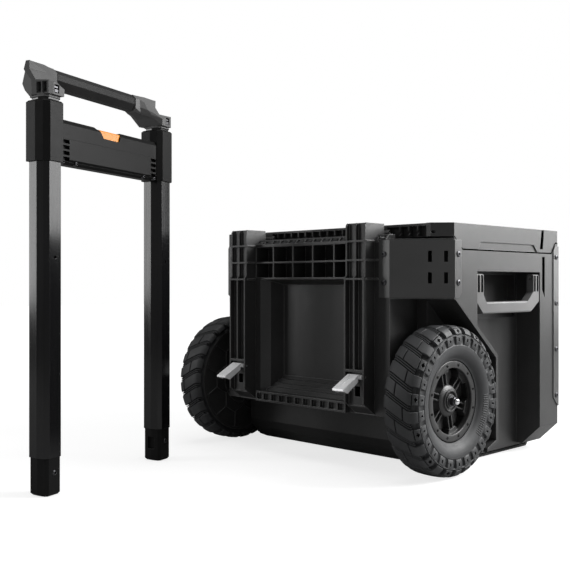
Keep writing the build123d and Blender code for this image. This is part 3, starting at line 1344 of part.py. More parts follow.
bracket = make_rear_bracket()
strip = make_front_strip()
bail = make_side_handle()
lever = make_release_lever()
socket = make_socket()
for side_name, place in (("right", lambda shape: shape), ("left", flip)):
    save(f"handle_socket_{side_name}", place(socket))
    save(f"rear_bracket_{side_name}", place(bracket))
    save(f"front_strip_{side_name}", place(strip))
    save(f"side_handle_{side_name}", place(bail))
    save(f"release_lever_{side_name}", place(lever))
    save(f"tyre_{side_name}", place(seated(make_tyre())))
    save(f"rim_{side_name}", place(seated(make_rim())))
    save(f"bead_ring_{side_name}", place(seated(make_bead_ring())))
    save(f"ring_bolts_{side_name}", place(make_ring_bolts()))
    save(f"wheel_bush_{side_name}", place(seated(make_bush())))
save("bracket_screws", make_bracket_screws())
save("side_handle_pins", make_side_handle_pins())
save("lever_pins", make_lever_pins())
save("latch_left", make_latch(latch_places()[0]))
save("latch_right", make_latch(latch_places()[1]))
save("latch_pins", make_latch_pins())
save("latch_catches", make_latch_catches())
save("axle", make_axle())
save("axle_spacers", make_axle_spacers())
save("axle_nuts", make_axle_nuts())

for end_name, end in (("near", -1), ("far", 1)):
    seat = Pos(0, end * LEG_X, 0)
    save(f"leg_tube_{end_name}", stood(seat * make_leg_tube()))
    save(f"foot_plug_{end_name}", stood(seat * make_foot_plug(end)))
    save(f"foot_rivet_{end_name}", stood(seat * make_foot_rivet()))
    save(f"inner_tube_{end_name}", stood(seat * make_inner_tube()))
    save(f"end_bracket_{end_name}", stood(make_end_bracket(end)))
save("crossbar_housing", stood(make_crossbar_housing()))
save("crossbar_cover", stood(make_crossbar_cover()))
save("cover_screws", make_cover_screws())
save("release_button", stood(make_release_button()))
save("grip_bar", stood(make_grip_bar()))
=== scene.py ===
import json
import math
import bmesh
import bpy
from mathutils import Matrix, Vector

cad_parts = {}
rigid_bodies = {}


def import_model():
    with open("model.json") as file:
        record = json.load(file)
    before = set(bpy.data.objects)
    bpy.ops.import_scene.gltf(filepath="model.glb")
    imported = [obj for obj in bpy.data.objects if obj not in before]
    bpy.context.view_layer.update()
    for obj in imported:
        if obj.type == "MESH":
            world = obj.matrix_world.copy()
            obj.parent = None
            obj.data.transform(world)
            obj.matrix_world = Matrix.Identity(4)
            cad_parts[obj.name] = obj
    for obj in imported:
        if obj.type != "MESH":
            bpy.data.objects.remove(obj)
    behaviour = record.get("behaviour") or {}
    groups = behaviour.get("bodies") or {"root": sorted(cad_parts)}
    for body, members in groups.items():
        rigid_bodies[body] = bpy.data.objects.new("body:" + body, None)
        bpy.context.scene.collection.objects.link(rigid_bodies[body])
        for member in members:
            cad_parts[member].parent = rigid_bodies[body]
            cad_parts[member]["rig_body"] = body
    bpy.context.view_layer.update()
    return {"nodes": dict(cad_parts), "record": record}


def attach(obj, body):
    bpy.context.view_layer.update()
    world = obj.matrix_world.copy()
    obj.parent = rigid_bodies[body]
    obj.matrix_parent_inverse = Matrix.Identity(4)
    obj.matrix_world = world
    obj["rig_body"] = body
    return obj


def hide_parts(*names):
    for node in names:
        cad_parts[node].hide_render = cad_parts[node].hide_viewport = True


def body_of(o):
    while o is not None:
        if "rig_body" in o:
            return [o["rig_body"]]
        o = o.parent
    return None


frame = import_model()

NODES = frame["nodes"]


# ---------------------------------------------------------------- materials

# Cosine between the softened and the plain normal, where an edge starts and where it is full.
EDGE_START = 0.995
EDGE_FULL = 0.80


def new_material(name):
    """New node material: returns it with its tree and its shader."""
    material = bpy.data.materials.new(name)
    material.use_nodes = True
    tree = material.node_tree
    shader = tree.nodes["Principled BSDF"]
    return material, tree, shader


def object_coords(tree):
    """Texture place in the object's own frame, so that a look stays with its piece."""
    return tree.nodes.new("ShaderNodeTexCoord").outputs["Object"]


def noise(tree, coords, scale, detail=3.0, roughness=0.55):
    """Value of a noise texture at the given place."""
    node = tree.nodes.new("ShaderNodeTexNoise")
    node.inputs["Scale"].default_value = scale
    node.inputs["Detail"].default_value = detail
    node.inputs["Roughness"].default_value = roughness
    tree.links.new(coords, node.inputs["Vector"])
    return node.outputs["Fac"]


def ramp(tree, value, stops):
    """Colour ramp from (place, colour) stops."""
    node = tree.nodes.new("ShaderNodeValToRGB")
    elements = node.color_ramp.elements
    while len(elements) < len(stops):
        elements.new(0.5)
    for element, (place, colour) in zip(elements, stops):
        element.position = place
        element.color = colour if len(colour) == 4 else (*colour, 1.0)
    tree.links.new(value, node.inputs["Fac"])
    return node.outputs["Color"]


def grey(value):
    """Opaque grey."""
    return (value, value, value, 1.0)


def remap(tree, value, low, high):
    """Value from 0 to 1 spread between two others."""
    node = tree.nodes.new("ShaderNodeMapRange")
    node.inputs["To Min"].default_value = low
    node.inputs["To Max"].default_value = high
    tree.links.new(value, node.inputs["Value"])
    return node.outputs["Result"]


def add_bump(tree, shader, height, strength, distance, under):
    """Fine relief laid over the normal given as under."""
    node = tree.nodes.new("ShaderNodeBump")
    node.inputs["Strength"].default_value = strength
    node.inputs["Distance"].default_value = distance
    tree.links.new(height, node.inputs["Height"])
    tree.links.new(under, node.inputs["Normal"])
    tree.links.new(node.outputs["Normal"], shader.inputs["Normal"])


def rounded_edges(tree, radius):
    """Normal that softens every edge by a small radius."""
    node = tree.nodes.new("ShaderNodeBevel")
    node.samples = 6
    node.inputs["Radius"].default_value = radius
    return node.outputs["Normal"]


def edge_share(tree, rounded):
    """0 on flat faces, rising to 1 where the softened normal turns away from the face."""
    geometry = tree.nodes.new("ShaderNodeNewGeometry")
    turn = tree.nodes.new("ShaderNodeVectorMath")
    turn.operation = "DOT_PRODUCT"
    tree.links.new(rounded, turn.inputs[0])
    tree.links.new(geometry.outputs["Normal"], turn.inputs[1])
    share = tree.nodes.new("ShaderNodeMapRange")
    share.inputs["From Min"].default_value = EDGE_START
    share.inputs["From Max"].default_value = EDGE_FULL
    tree.links.new(turn.outputs["Value"], share.inputs["Value"])
    return share.outputs["Result"]


def scaled(tree, coords, scale):
    """Texture place stretched along the axes."""
    mapping = tree.nodes.new("ShaderNodeMapping")
    mapping.inputs["Scale"].default_value = scale
    tree.links.new(coords, mapping.inputs["Vector"])
    return mapping.outputs["Vector"]


def moulded_plastic(name, dark, light, rough, grain, edge=0.0008, edge_wear_and_highlight=None, gloss=0.5):
    """Moulded plastic: fine grain, slow drift between two greys and softened edges.

    edge_wear_and_highlight is the paler grey laid along edges, where there is any: partly rubbed
    wear, partly a painted highlight of edges catching the light.
    """
    material, tree, shader = new_material(name)
    coords = object_coords(tree)
    drift = noise(tree, coords, 9.0)
    colour = ramp(tree, drift, [(0.3, grey(dark)), (0.7, grey(light))])
    rounded = rounded_edges(tree, edge)
    if edge_wear_and_highlight is not None:
        # Paler grey along edges: partly rubbed wear, partly a painted highlight of edges catching
        # the light.
        wear_and_highlight = tree.nodes.new("ShaderNodeMix")
        wear_and_highlight.data_type = "RGBA"
        share = edge_share(tree, rounded)
        patchy = tree.nodes.new("ShaderNodeMath")
        patchy.operation = "MULTIPLY"
        tree.links.new(share, patchy.inputs[0])
        tree.links.new(remap(tree, noise(tree, coords, 45.0), 0.5, 1.0), patchy.inputs[1])
        tree.links.new(patchy.outputs["Value"], wear_and_highlight.inputs["Factor"])
        tree.links.new(colour, wear_and_highlight.inputs["A"])
        wear_and_highlight.inputs["B"].default_value = grey(edge_wear_and_highlight)
        colour = wear_and_highlight.outputs["Result"]
    tree.links.new(colour, shader.inputs["Base Color"])
    tree.links.new(remap(tree, noise(tree, coords, 60.0), rough - 0.06, rough + 0.06),
                   shader.inputs["Roughness"])
    fine = noise(tree, coords, 1600.0, 2.0)
    add_bump(tree, shader, fine, grain, 0.0002, rounded)
    shader.inputs["Specular IOR Level"].default_value = gloss
    return material


def polished_metal(name, colour, rough, stretch, metallic):
    """Metal with fine drawn lines along one direction."""
    material, tree, shader = new_material(name)
    coords = object_coords(tree)
    lines = noise(tree, scaled(tree, coords, stretch), 300.0)
    tree.links.new(remap(tree, lines, rough - 0.07, rough + 0.1), shader.inputs["Roughness"])
    shade = ramp(tree, noise(tree, coords, 40.0),
                 [(0.3, [c * 0.86 for c in colour]), (0.7, colour)])
    tree.links.new(shade, shader.inputs["Base Color"])
    shader.inputs["Metallic"].default_value = metallic
    add_bump(tree, shader, lines, 0.1, 0.0002, rounded_edges(tree, 0.0005))
    return material


def tyre_rubber():
    """Matt black rubber with a fine grain."""
    material, tree, shader = new_material("tyre_rubber")
    coords = object_coords(tree)
    colour = ramp(tree, noise(tree, coords, 14.0),
                  [(0.3, (0.021, 0.022, 0.023)), (0.7, (0.033, 0.034, 0.036))])
    tree.links.new(colour, shader.inputs["Base Color"])
    tree.links.new(remap(tree, noise(tree, coords, 90.0), 0.5, 0.68), shader.inputs["Roughness"])
    add_bump(tree, shader, noise(tree, coords, 700.0), 0.12, 0.0003, rounded_edges(tree, 0.0007))
    return material


def gloss_tube():
    """Glossy black tube with faint lines along its length."""
    material, tree, shader = new_material("gloss_tube")
    coords = object_coords(tree)
    colour = ramp(tree, noise(tree, coords, 6.0),
                  [(0.35, (0.004, 0.004, 0.0045)), (0.65, (0.007, 0.007, 0.0075))])
    tree.links.new(colour, shader.inputs["Base Color"])
    lines = noise(tree, scaled(tree, coords, (1.0, 1.0, 0.02)), 260.0)
    tree.links.new(remap(tree, lines, 0.10, 0.24), shader.inputs["Roughness"])
    add_bump(tree, shader, lines, 0.25, 0.0004, rounded_edges(tree, 0.0006))
    shader.inputs["Specular IOR Level"].default_value = 0.45
    return material


def orange_plastic():
    """Orange plastic of the release button."""
    material, tree, shader = new_material("orange_plastic")
    coords = object_coords(tree)
    colour = ramp(tree, noise(tree, coords, 25.0),
                  [(0.3, (0.66, 0.22, 0.014)), (0.7, (0.72, 0.26, 0.020))])
    tree.links.new(colour, shader.inputs["Base Color"])
    tree.links.new(remap(tree, noise(tree, coords, 80.0), 0.28, 0.4), shader.inputs["Roughness"])
    add_bump(tree, shader, noise(tree, coords, 1200.0), 0.06, 0.0002, rounded_edges(tree, 0.0008))
    return material


# Name: darker and lighter grey, roughness, grain, then what differs from the defaults. The paler
# edge grey is partly wear and partly a painted highlight.
PLASTICS = {
    "black_plastic": (0.026, 0.036, 0.40, 0.30, {"edge_wear_and_highlight": 0.10}),
    "frame_plastic": (0.022, 0.030, 0.42, 0.25, {"edge": 0.0012, "edge_wear_and_highlight": 0.32}),
    "handle_plastic": (0.008, 0.012, 0.34, 0.12, {"edge_wear_and_highlight": 0.05, "gloss": 0.08}),
    "bracket_plastic": (0.085, 0.105, 0.50, 0.0, {"edge": 0.0003, "gloss": 0.25}),
    "bolt_black": (0.001, 0.002, 0.6, 0.1, {"gloss": 0.1}),
    # Near-black laid into the seam and slots: painted shade.
    "painted_shade_black": (0.0006, 0.0010, 0.8, 0.1, {"gloss": 0.0}),
    # Paler copy of the black plastic for the side handles: painted light, standing in for the
    # light on their top edges.
    "bail_plastic_painted_light": (0.10, 0.13, 0.36, 0.2, {"edge_wear_and_highlight": 0.26}),
    "painted_sheet": (0.048, 0.062, 0.32, 0.08, {"edge": 0.0005, "edge_wear_and_highlight": 0.14, "gloss": 0.7}),
    "wheel_plastic": (0.022, 0.030, 0.40, 0.15, {"edge_wear_and_highlight": 0.10}),
    "bush_plastic": (0.06, 0.08, 0.4, 0.1, {}),
    "seal_rubber": (0.015, 0.02, 0.7, 0.2, {}),
    "grip_rubber": (0.012, 0.018, 0.42, 0.4, {"edge_wear_and_highlight": 0.04, "gloss": 0.12}),
}

# Name: colour, roughness, stretch of the drawn lines, share of metal.
METALS = {
    "dark_fastener": ((0.10, 0.10, 0.105), 0.35, (1, 1, 1), 1.0),
    "steel": ((0.60, 0.60, 0.61), 0.28, (0.05, 1, 1), 1.0),
    "bright_steel": ((0.86, 0.86, 0.87), 0.14, (1, 1, 1), 1.0),
    "silver_metal": ((0.92, 0.92, 0.93), 0.30, (1, 1, 1), 0.15),
}

MATERIALS = {name: moulded_plastic(name, *values, **rest)
             for name, (*values, rest) in PLASTICS.items()}
MATERIALS.update({name: polished_metal(name, *values) for name, values in METALS.items()})
MATERIALS.update({"tyre": tyre_rubber(), "gloss_tube": gloss_tube(),
                  "orange_plastic": orange_plastic()})


def dress_nodes():
    """Give every CAD node the material of its slot, and the side handles a paler copy of the
    plastic that paints in the light they catch.
    """
    slots = {entry["node"]: entry["material_slot"] for entry in frame["record"]["subparts"]}
    for name, node in NODES.items():
        material = slots[name]
        if name.startswith("side_handle_") and "pins" not in name:
            material = "bail_plastic_painted_light"
        node.data.materials.clear()
        node.data.materials.append(MATERIALS[material])


# ---------------------------------------------------------------- mesh helpers


class Build:
    """Collects vertices and faces of one piece."""

    def __init__(self):
        self.verts = []
        self.faces = []

    def vert(self, point):
        """Add a vertex and return its number."""
        self.verts.append(tuple(point))
        return len(self.verts) - 1

    def face(self, *corners):
        """Add a face by the numbers of its vertices."""
        self.faces.append(corners)


def place_object(name, data):
    """Object in the scene."""
    made = bpy.data.objects.new(name, data)
    bpy.context.scene.collection.objects.link(made)
    return made


def make_mesh(name, build):
    """Mesh in metres with its faces turned outwards, from a build in millimetres."""
    mesh = bpy.data.meshes.new(name)
    mesh.from_pydata([[c / 1000.0 for c in v] for v in build.verts], [], build.faces)
    work = bmesh.new()
    work.from_mesh(mesh)
    bmesh.ops.recalc_face_normals(work, faces=work.faces)
    work.to_mesh(mesh)
    work.free()
    return mesh


def make_piece(name, build, material, body, stands_for=(), crease=20):
    """Turn a build into an object that rides on a body and stands for some CAD nodes."""
    mesh = make_mesh(name, build)
    mesh.shade_smooth()
    mesh.set_sharp_from_angle(angle=math.radians(crease))
    piece = place_object(name, mesh)
    mesh.materials.append(MATERIALS[material])
    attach(piece, body)
    if stands_for:
        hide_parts(*stands_for)
    return piece


def join_loops(build, a, b):
    """Band of faces between two rings of vertices."""
    for i in range(len(a)):
        j = (i + 1) % len(a)
        build.face(a[i], a[j], b[j], b[i])


def skin_loops(build, loops):
    """Join rings of vertices, and close the first and the last."""
    for a, b in zip(loops, loops[1:]):
        join_loops(build, a, b)
    build.face(*loops[0])
    build.face(*reversed(loops[-1]))


def add_ring(build, outline, place, steps):
    """Turn a closed (x, radius) outline about the wheel's axis."""
    rows = []
    for step in range(steps):
        angle = math.radians(360.0 * step / steps)
        rows.append([build.vert(place(x, r, angle)) for x, r in outline])
    for a, b in zip(rows, rows[1:] + rows[:1]):
        join_loops(build, a, b)


def add_lug(build, us, arcs, place, top=0.0, deep=7.0, bevel=0.6, draft=0.7, pockets=(),
            sunk=3.0):
    """Closed block on a curved surface.

    us are the lines across it, arcs are the lines along it, and place maps (u, arc, depth) to a
    point. The border lies a bevel lower than the top, the walls lean out by a draft, and cells
    named in pockets are sunk.
    """
    n = len(us) - 1
    m = len(arcs) - 1

    def border(i, j):
        return i in (0, n) or j in (0, m)

    def point(i, j, depth):
        return place(us[i], arcs[j](us[i]), depth)

    tops = {(i, j): build.vert(point(i, j, top + (bevel if border(i, j) else 0)))
            for i in range(n + 1) for j in range(m + 1)}
    low = {}
    for i, j in tops:
        if border(i, j):
            du = -draft if i == 0 else draft if i == n else 0
            da = -draft if j == 0 else draft if j == m else 0
            low[i, j] = build.vert(place(us[i] + du, arcs[j](us[i]) + da, deep))
    floor = {}
    for i in range(n):
        for j in range(m):
            corners = [(i, j), (i + 1, j), (i + 1, j + 1), (i, j + 1)]
            if (i, j) not in pockets:
                build.face(*[tops[c] for c in corners])
                continue
            for c in corners:
                if c not in floor:
                    floor[c] = build.vert(point(*c, sunk))
            build.face(*[floor[c] for c in corners])
            beside = [(i, j - 1), (i + 1, j), (i, j + 1), (i - 1, j)]
            for a, b, cell in zip(corners, corners[1:] + corners[:1], beside):
                if cell not in pockets:
                    build.face(tops[a], tops[b], floor[b], floor[a])
    ring = [(i, 0) for i in range(n + 1)] + [(n, j) for j in range(1, m + 1)]
    ring += [(i, m) for i in range(n - 1, -1, -1)] + [(0, j) for j in range(m - 1, 0, -1)]
    for a, b in zip(ring, ring[1:] + ring[:1]):
        build.face(tops[b], tops[a], low[a], low[b])
    build.face(*[low[c] for c in ring])


def add_block(build, corners_low, corners_high):
    """Closed prism between two rings of corners."""
    low = [build.vert(p) for p in corners_low]
    high = [build.vert(p) for p in corners_high]
    build.face(*reversed(low))
    build.face(*high)
    join_loops(build, low, high)


# ---------------------------------------------------------------- wheels

SIDES = (("right", 1), ("left", -1))
AXLE_Y = -161.25
AXLE_Z = 114.3
TREAD_RADIUS = 114.2
PITCHES = 26
PITCH = 2 * math.pi * TREAD_RADIUS / PITCHES
# Where the diagonal grooves start and stop dropping across the tyre, and by how much.
DROP_START = 7
DROP_END = 49
DROP = 21.0
# Width of the diagonal grooves, and where and how fast they widen on the shoulder.
GROOVE_WIDTH = 9.2
GROOVE_WIDEST = 10.2
WIDEN_START = 48
WIDEN_RATE = 0.3
# Fine ribs on the sidewall: how many, where they start, how far round they go, their width.
RIBS = 19
RIB_START = 3
RIB_SWEEP = 48.0
RIB_WIDTH = 1.2
# Spoke pairs of a rim, and the angle of the first one in degrees.
SPOKE_PAIRS = 6
FIRST_PAIR = 43.0
# Webs of the honeycomb: length, and the radii between which they are kept.
CELL = 25.0
CELLS_IN = 18
CELLS_OUT = 94.0
# Bolts of the bead ring: how many, on which radius, and the sides of a head.
RING_BOLTS = 12
BOLT_CIRCLE = 55.2
HEAD_SIDES = 12
# Outer surface of the tyre from its inner shoulder to its outer sidewall: u, x, radius.
TYRE_LINE = [(-8, 209.7, 99.0), (-3, 209.9, 105.2), (1, 211.6, 109.6), (5, 214.8, 112.0),
             (11, 220.6, 113.4), (20, 229.6, 114.0), (29, 238.7, 114.2), (38, 247.6, 113.9),
             (46, 255.4, 113.1), (51, 260.0, 111.6), (55, 263.3, 109.0), (59, 265.8, 105.8),
             (64, 267.4, 101.0), (70, 267.8, 95.0), (76, 267.2, 89.0), (82, 265.9, 83.2)]


def wheel_place(side):
    """Maps a wheel's own (x, radius, angle) to the row frame."""
    def place(x, radius, angle):
        return (side * x, AXLE_Y + radius * math.cos(angle), AXLE_Z + radius * math.sin(angle))
    return place


def tyre_surface(u, depth):
    """(x, radius) on the tyre's outer line, sunk by a depth along its normal."""
    line = TYRE_LINE
    index = 0
    while index < len(line) - 2 and u > line[index + 1][0]:
        index += 1
    (u0, x0, r0), (u1, x1, r1) = line[index], line[index + 1]
    t = (u - u0) / (u1 - u0)
    before = line[max(index - 1, 0)]
    after = line[min(index + 2, len(line) - 1)]

    def tangent(p, q):
        length = math.hypot(q[1] - p[1], q[2] - p[2])
        return (q[1] - p[1]) / length, (q[2] - p[2]) / length

    a = tangent(before, line[index + 1])
    b = tangent(line[index], after)
    tx = a[0] * (1 - t) + b[0] * t
    tr = a[1] * (1 - t) + b[1] * t
    size = math.hypot(tx, tr)
    return (x0 + (x1 - x0) * t + tr / size * depth, r0 + (r1 - r0) * t - tx / size * depth)


def groove_line(u):
    """Arc by which the diagonal grooves have dropped at u."""
    if u < DROP_START:
        return DROP
    if u > DROP_END:
        return 0.0
    return DROP * (DROP_END - u) / (DROP_END - DROP_START)


def groove_width(u):
    """Width of a diagonal groove at u."""
    return min(GROOVE_WIDTH + max(u - WIDEN_START, 0) * WIDEN_RATE, GROOVE_WIDEST)


def spread(start, end, edge, steps):
    """Lines from start to end with a narrow first and last interval."""
    inner = [start + edge + (end - start - 2 * edge) * k / steps for k in range(steps + 1)]
    return [start, *inner, end]


def tread_arcs(base, edge, steps):
    """Lines along a tread block, between the diagonal grooves on its two sides."""
    def line(fraction, shift):
        def arc(u):
            low = base + groove_line(u) + groove_width(u) / 2
            high = base + PITCH + groove_line(u) - groove_width(u) / 2
            return low + (high - low) * fraction + shift
        return arc
    lines = [line(0, 0), line(0, edge)]
    lines += [line(k / steps, 0) for k in range(1, steps)]
    return lines + [line(1, -edge), line(1, 0)]


def straight_arcs(base, places):
    """Lines at fixed arcs from a base."""
    return [lambda u, a=base + place: a for place in places]


def add_tread(build, place):
    """Diagonal tread blocks, groove ribs, shoulder blocks and sidewall lugs.

    Odd pitches have a block that reaches over the shoulder, even ones a shoulder block of their
    own with a cross sunk into it.
    """
    long_block = [39.4, 40.0, 43, 46, 49, 50.6, 51.6, 54, 57, 60, 62.6, 63.3]
    shoulder_block = [53.4, 54.0, 56.0, 57.6, 59.8, 61.4, 62.8, 63.3]
    shoulder_places = [0, 0.6, 5.0, 7.2, 10.4, 12.6, 16.8, 17.4]
    cross = [(2, 3), (3, 2), (3, 3), (3, 4), (4, 3)]
    side_block = [66.2, 66.8, 69.4, 74.2, 78.0, 79.6]
    side_places = [0, 0.7, 7.2, 10.8, 17.3, 18.0]
    for k in range(PITCHES):
        base = k * PITCH
        arcs = tread_arcs(base, 0.6, 4)
        if k % 2:
            add_lug(build, spread(-4, 37.6, 0.7, 9), arcs, place)
            add_lug(build, long_block, arcs, place, draft=0.5)
        else:
            add_lug(build, spread(-4, 22.4, 0.7, 7), arcs, place)
            add_lug(build, spread(24.2, 52.4, 0.7, 8), arcs, place)
            add_lug(build, shoulder_block, straight_arcs(base + 5.1, shoulder_places), place,
                    draft=0.5, pockets=cross, sunk=5.0)
        for middle, start in ((-1.85, 3), (1.85, -1)):
            rib = [lambda u, a=base + middle + shift: a + groove_line(u)
                   for shift in (-1.0, -0.6, 0.6, 1.0)]
            add_lug(build, spread(start, 50.5, 0.5, 10), rib, place, top=1.0, draft=0.2, bevel=0.4)
        add_lug(build, side_block, straight_arcs(base + 4.6, side_places), place, deep=4.5,
                draft=0.4, pockets=[(2, 2)], sunk=3.6)


def make_tyre(word, side):
    """Tyre: carcass with its bead and smooth sidewall, then the tread on it."""
    own = wheel_place(side)

    def place(u, arc, depth):
        x, radius = tyre_surface(u, depth)
        return own(x, radius, math.pi - arc / TREAD_RADIUS)

    build = Build()
    under_tread = [tyre_surface(u, 6.6 if u < 52 else 6.6 - (u - 52) * 0.16)
                   for u in range(-7, 64, 3)]
    sidewall = [tyre_surface(u, depth) for u, depth in (
        (64.4, 0.9), (65.0, 0.2), (66.0, 0.3), (66.4, 1.0), (67.0, 3.0), (73, 2.8), (79.4, 1.4))]
    bead = [(266.3, 84.6), (266.2, 81), (265.4, 77), (263.8, 72.8), (261.6, 69.2), (259.4, 66.8),
            (257.8, 65.4), (256.8, 63.8), (256.2, 62.3)]
    inside = [(250, 62.1), (216, 62.1), (216, 97.8), (211.5, 98.0)]
    add_ring(build, under_tread + sidewall + bead + inside, own, 156)
    add_tread(build, place)
    for k in range(RIBS):
        add_sidewall_rib(build, own, math.radians(RIB_START - RIB_SWEEP * k / (RIBS - 1)))
    make_piece(f"tyre_{word}_tread", build, "tyre", f"wheel_{word}", [f"tyre_{word}"], crease=40)


def add_sidewall_rib(build, own, angle):
    """Fine raised rib on the sidewall."""
    line = [(263.4, 72.2), (264.7, 75.0), (265.7, 78.2), (266.1, 80.6)]
    low = []
    high = []
    for x, radius in line:
        half = RIB_WIDTH / 2 / radius
        low += [(x - 0.6, radius, angle - half), (x - 0.6, radius, angle + half)]
        high += [(x + 0.55, radius, angle - half * 0.7), (x + 0.55, radius, angle + half * 0.7)]
    low = [build.vert(own(*p)) for p in low]
    high = [build.vert(own(*p)) for p in high]
    end = 2 * len(line) - 2
    for a in range(0, end, 2):
        b, c, d = a + 1, a + 3, a + 2
        build.face(high[a], high[b], high[c], high[d])
        build.face(low[a], low[d], low[c], low[b])
        build.face(low[a], high[a], high[d], low[d])
        build.face(low[b], low[c], high[c], high[b])
    build.face(low[0], low[1], high[1], high[0])
    build.face(low[end], high[end], high[end + 1], low[end + 1])


def radial_box(build, own, angle, offset, half, x0, x1, r0, r1, taper):
    """Straight bar along a radius, offset sideways, between two depths."""
    def ring(x, reach):
        corners = ((r0, offset - reach), (r1, offset - reach), (r1, offset + reach),
                   (r0, offset + reach))
        return [own(x, math.hypot(r, s), angle + math.atan2(s, r)) for r, s in corners]
    add_block(build, ring(x0, half), ring(x1, half * taper))


def make_rim(word, side):
    """Rim: barrel, dished back plate, spoke pairs, bosses, hub and the honeycomb behind them."""
    own = wheel_place(side)
    build = Build()
    barrel = [(215.4, 61.4), (250.4, 61.4), (250.4, 50.2), (247.2, 50.2), (244.6, 54.5),
              (234.0, 56.2), (233.0, 44.0), (238.0, 28.0), (243.2, 24.4), (247.6, 23.6),
              (249.4, 21.6), (250.6, 17.2), (252.4, 16.6), (253.2, 16.0), (253.2, 14.8),
              (252.2, 14.0), (249.0, 13.4), (248.6, 10.6), (225.0, 10.6), (225.0, 57.0),
              (215.4, 57.4)]
    add_ring(build, barrel, own, 96)
    for k in range(SPOKE_PAIRS):
        angle = math.radians(FIRST_PAIR + 360.0 / SPOKE_PAIRS * k)
        for offset in (-4.4, 4.4):
            radial_box(build, own, angle, offset, 1.5, 230.0, 246.6, 20.0, 52.0, 0.6)
        add_boss(build, own, angle)
        add_dish_panel(build, own, angle + math.radians(180 / SPOKE_PAIRS))
    disc = [(210.9, 10.6), (210.9, 16.0), (211.9, 17.5), (211.9, 97.3), (215.3, 97.3),
            (215.3, 10.6)]
    add_ring(build, disc, own, 96)
    for radius, width in ((17.0, 1.6), (46.0, 0.9), (95.0, 1.8)):
        rim = [(209.9, radius - width), (209.9, radius + width), (212.2, radius + width),
               (212.2, radius - width)]
        add_ring(build, rim, own, 96)
    for a, b in honeycomb():
        add_web(build, own, a, b)
    make_piece(f"rim_{word}_spokes", build, "wheel_plastic", f"wheel_{word}", [f"rim_{word}"],
               crease=30)


def add_boss(build, own, angle):
    """Trapezoid boss just behind the bead ring, where a spoke pair ends."""
    half_in = math.radians(11)
    half_out = math.radians(15.5)
    steps = 4
    rows = []
    for x, shrink in ((233.5, 1.0), (248.2, 1.0), (249.0, 0.94)):
        inner = [(x, 43.4, angle - half_in * shrink + 2 * half_in * shrink * k / steps)
                 for k in range(steps + 1)]
        outer = [(x, 51.4, angle + half_out * shrink - 2 * half_out * shrink * k / steps)
                 for k in range(steps + 1)]
        rows.append([build.vert(own(*p)) for p in inner + outer])
    for a, b in zip(rows, rows[1:]):
        join_loops(build, a, b)
    build.face(*reversed(rows[0]))
    build.face(*rows[-1])


def add_dish_panel(build, own, angle):
    """Raised six-sided panel in the dish between two spoke pairs."""
    shape = [(27.0, -6.0), (38.0, -13.5), (48.0, -9.0), (50.5, 0.0), (48.0, 9.0), (38.0, 13.5),
             (27.0, 6.0)]
    middle = 38.0

    def ring(x, shrink):
        points = []
        for r, s in shape:
            r2 = middle + (r - middle) * shrink
            s2 = s * shrink
            points.append(own(x, math.hypot(r2, s2), angle + math.atan2(s2, r2)))
        return points
    add_block(build, ring(232.0, 1.0), ring(238.5, 0.86))


def honeycomb():
    """Webs of a six-sided lattice inside the inner disc, as pairs of points."""
    webs = set()
    for q in range(-5, 6):
        for r in range(-5, 6):
            cx = CELL * math.sqrt(3) * (q + r / 2)
            cy = CELL * 1.5 * r
            corners = [(round(cx + CELL * math.cos(math.radians(30 + 60 * k)), 3),
                        round(cy + CELL * math.sin(math.radians(30 + 60 * k)), 3))
                       for k in range(6)]
            for a, b in zip(corners, corners[1:] + corners[:1]):
                webs.add((min(a, b), max(a, b)))
    kept = []
    for a, b in sorted(webs):
        inside = [math.hypot(*p) for p in (a, b)]
        if min(inside) < CELLS_OUT and max(inside) > CELLS_IN:
            kept.append((clip_to(a, b, CELLS_OUT), clip_to(b, a, CELLS_OUT)))
    return kept


def clip_to(point, other, radius):
    """Point, or where the segment from other to it leaves the circle."""
    if math.hypot(*point) <= radius:
        return point
    low, high = 0.0, 1.0
    for _ in range(30):
        middle = (low + high) / 2
        x = other[0] + (point[0] - other[0]) * middle
        y = other[1] + (point[1] - other[1]) * middle
        if math.hypot(x, y) > radius:
            high = middle
        else:
            low = middle
    return x, y


def add_web(build, own, a, b):
    """Thin web on the inner disc between two points of its plane."""
    dx, dy = b[0] - a[0], b[1] - a[1]
    length = math.hypot(dx, dy)
    if length < 1.0:
        return
    nx, ny = -dy / length, dx / length

    def ring(x, half):
        points = []
        for (px, py), reach in ((a, -half), (b, -half), (b, half), (a, half)):
            px, py = px + nx * reach, py + ny * reach
            points.append(own(x, math.hypot(px, py), math.atan2(py, px)))
        return points
    add_block(build, ring(212.4, 1.0), ring(210.0, 0.7))


def make_bead_ring(word, side):
    """Flat ring over the bead, with a softened outer edge."""
    build = Build()
    outline = [(250.6, 49.9), (255.2, 49.9), (256.1, 50.6), (256.4, 51.4), (256.4, 58.6),
               (256.1, 60.2), (255.4, 61.0), (250.6, 61.1)]
    add_ring(build, outline, wheel_place(side), 120)
    make_piece(f"bead_ring_{word}_face", build, "wheel_plastic", f"wheel_{word}",
               [f"bead_ring_{word}"], crease=25)


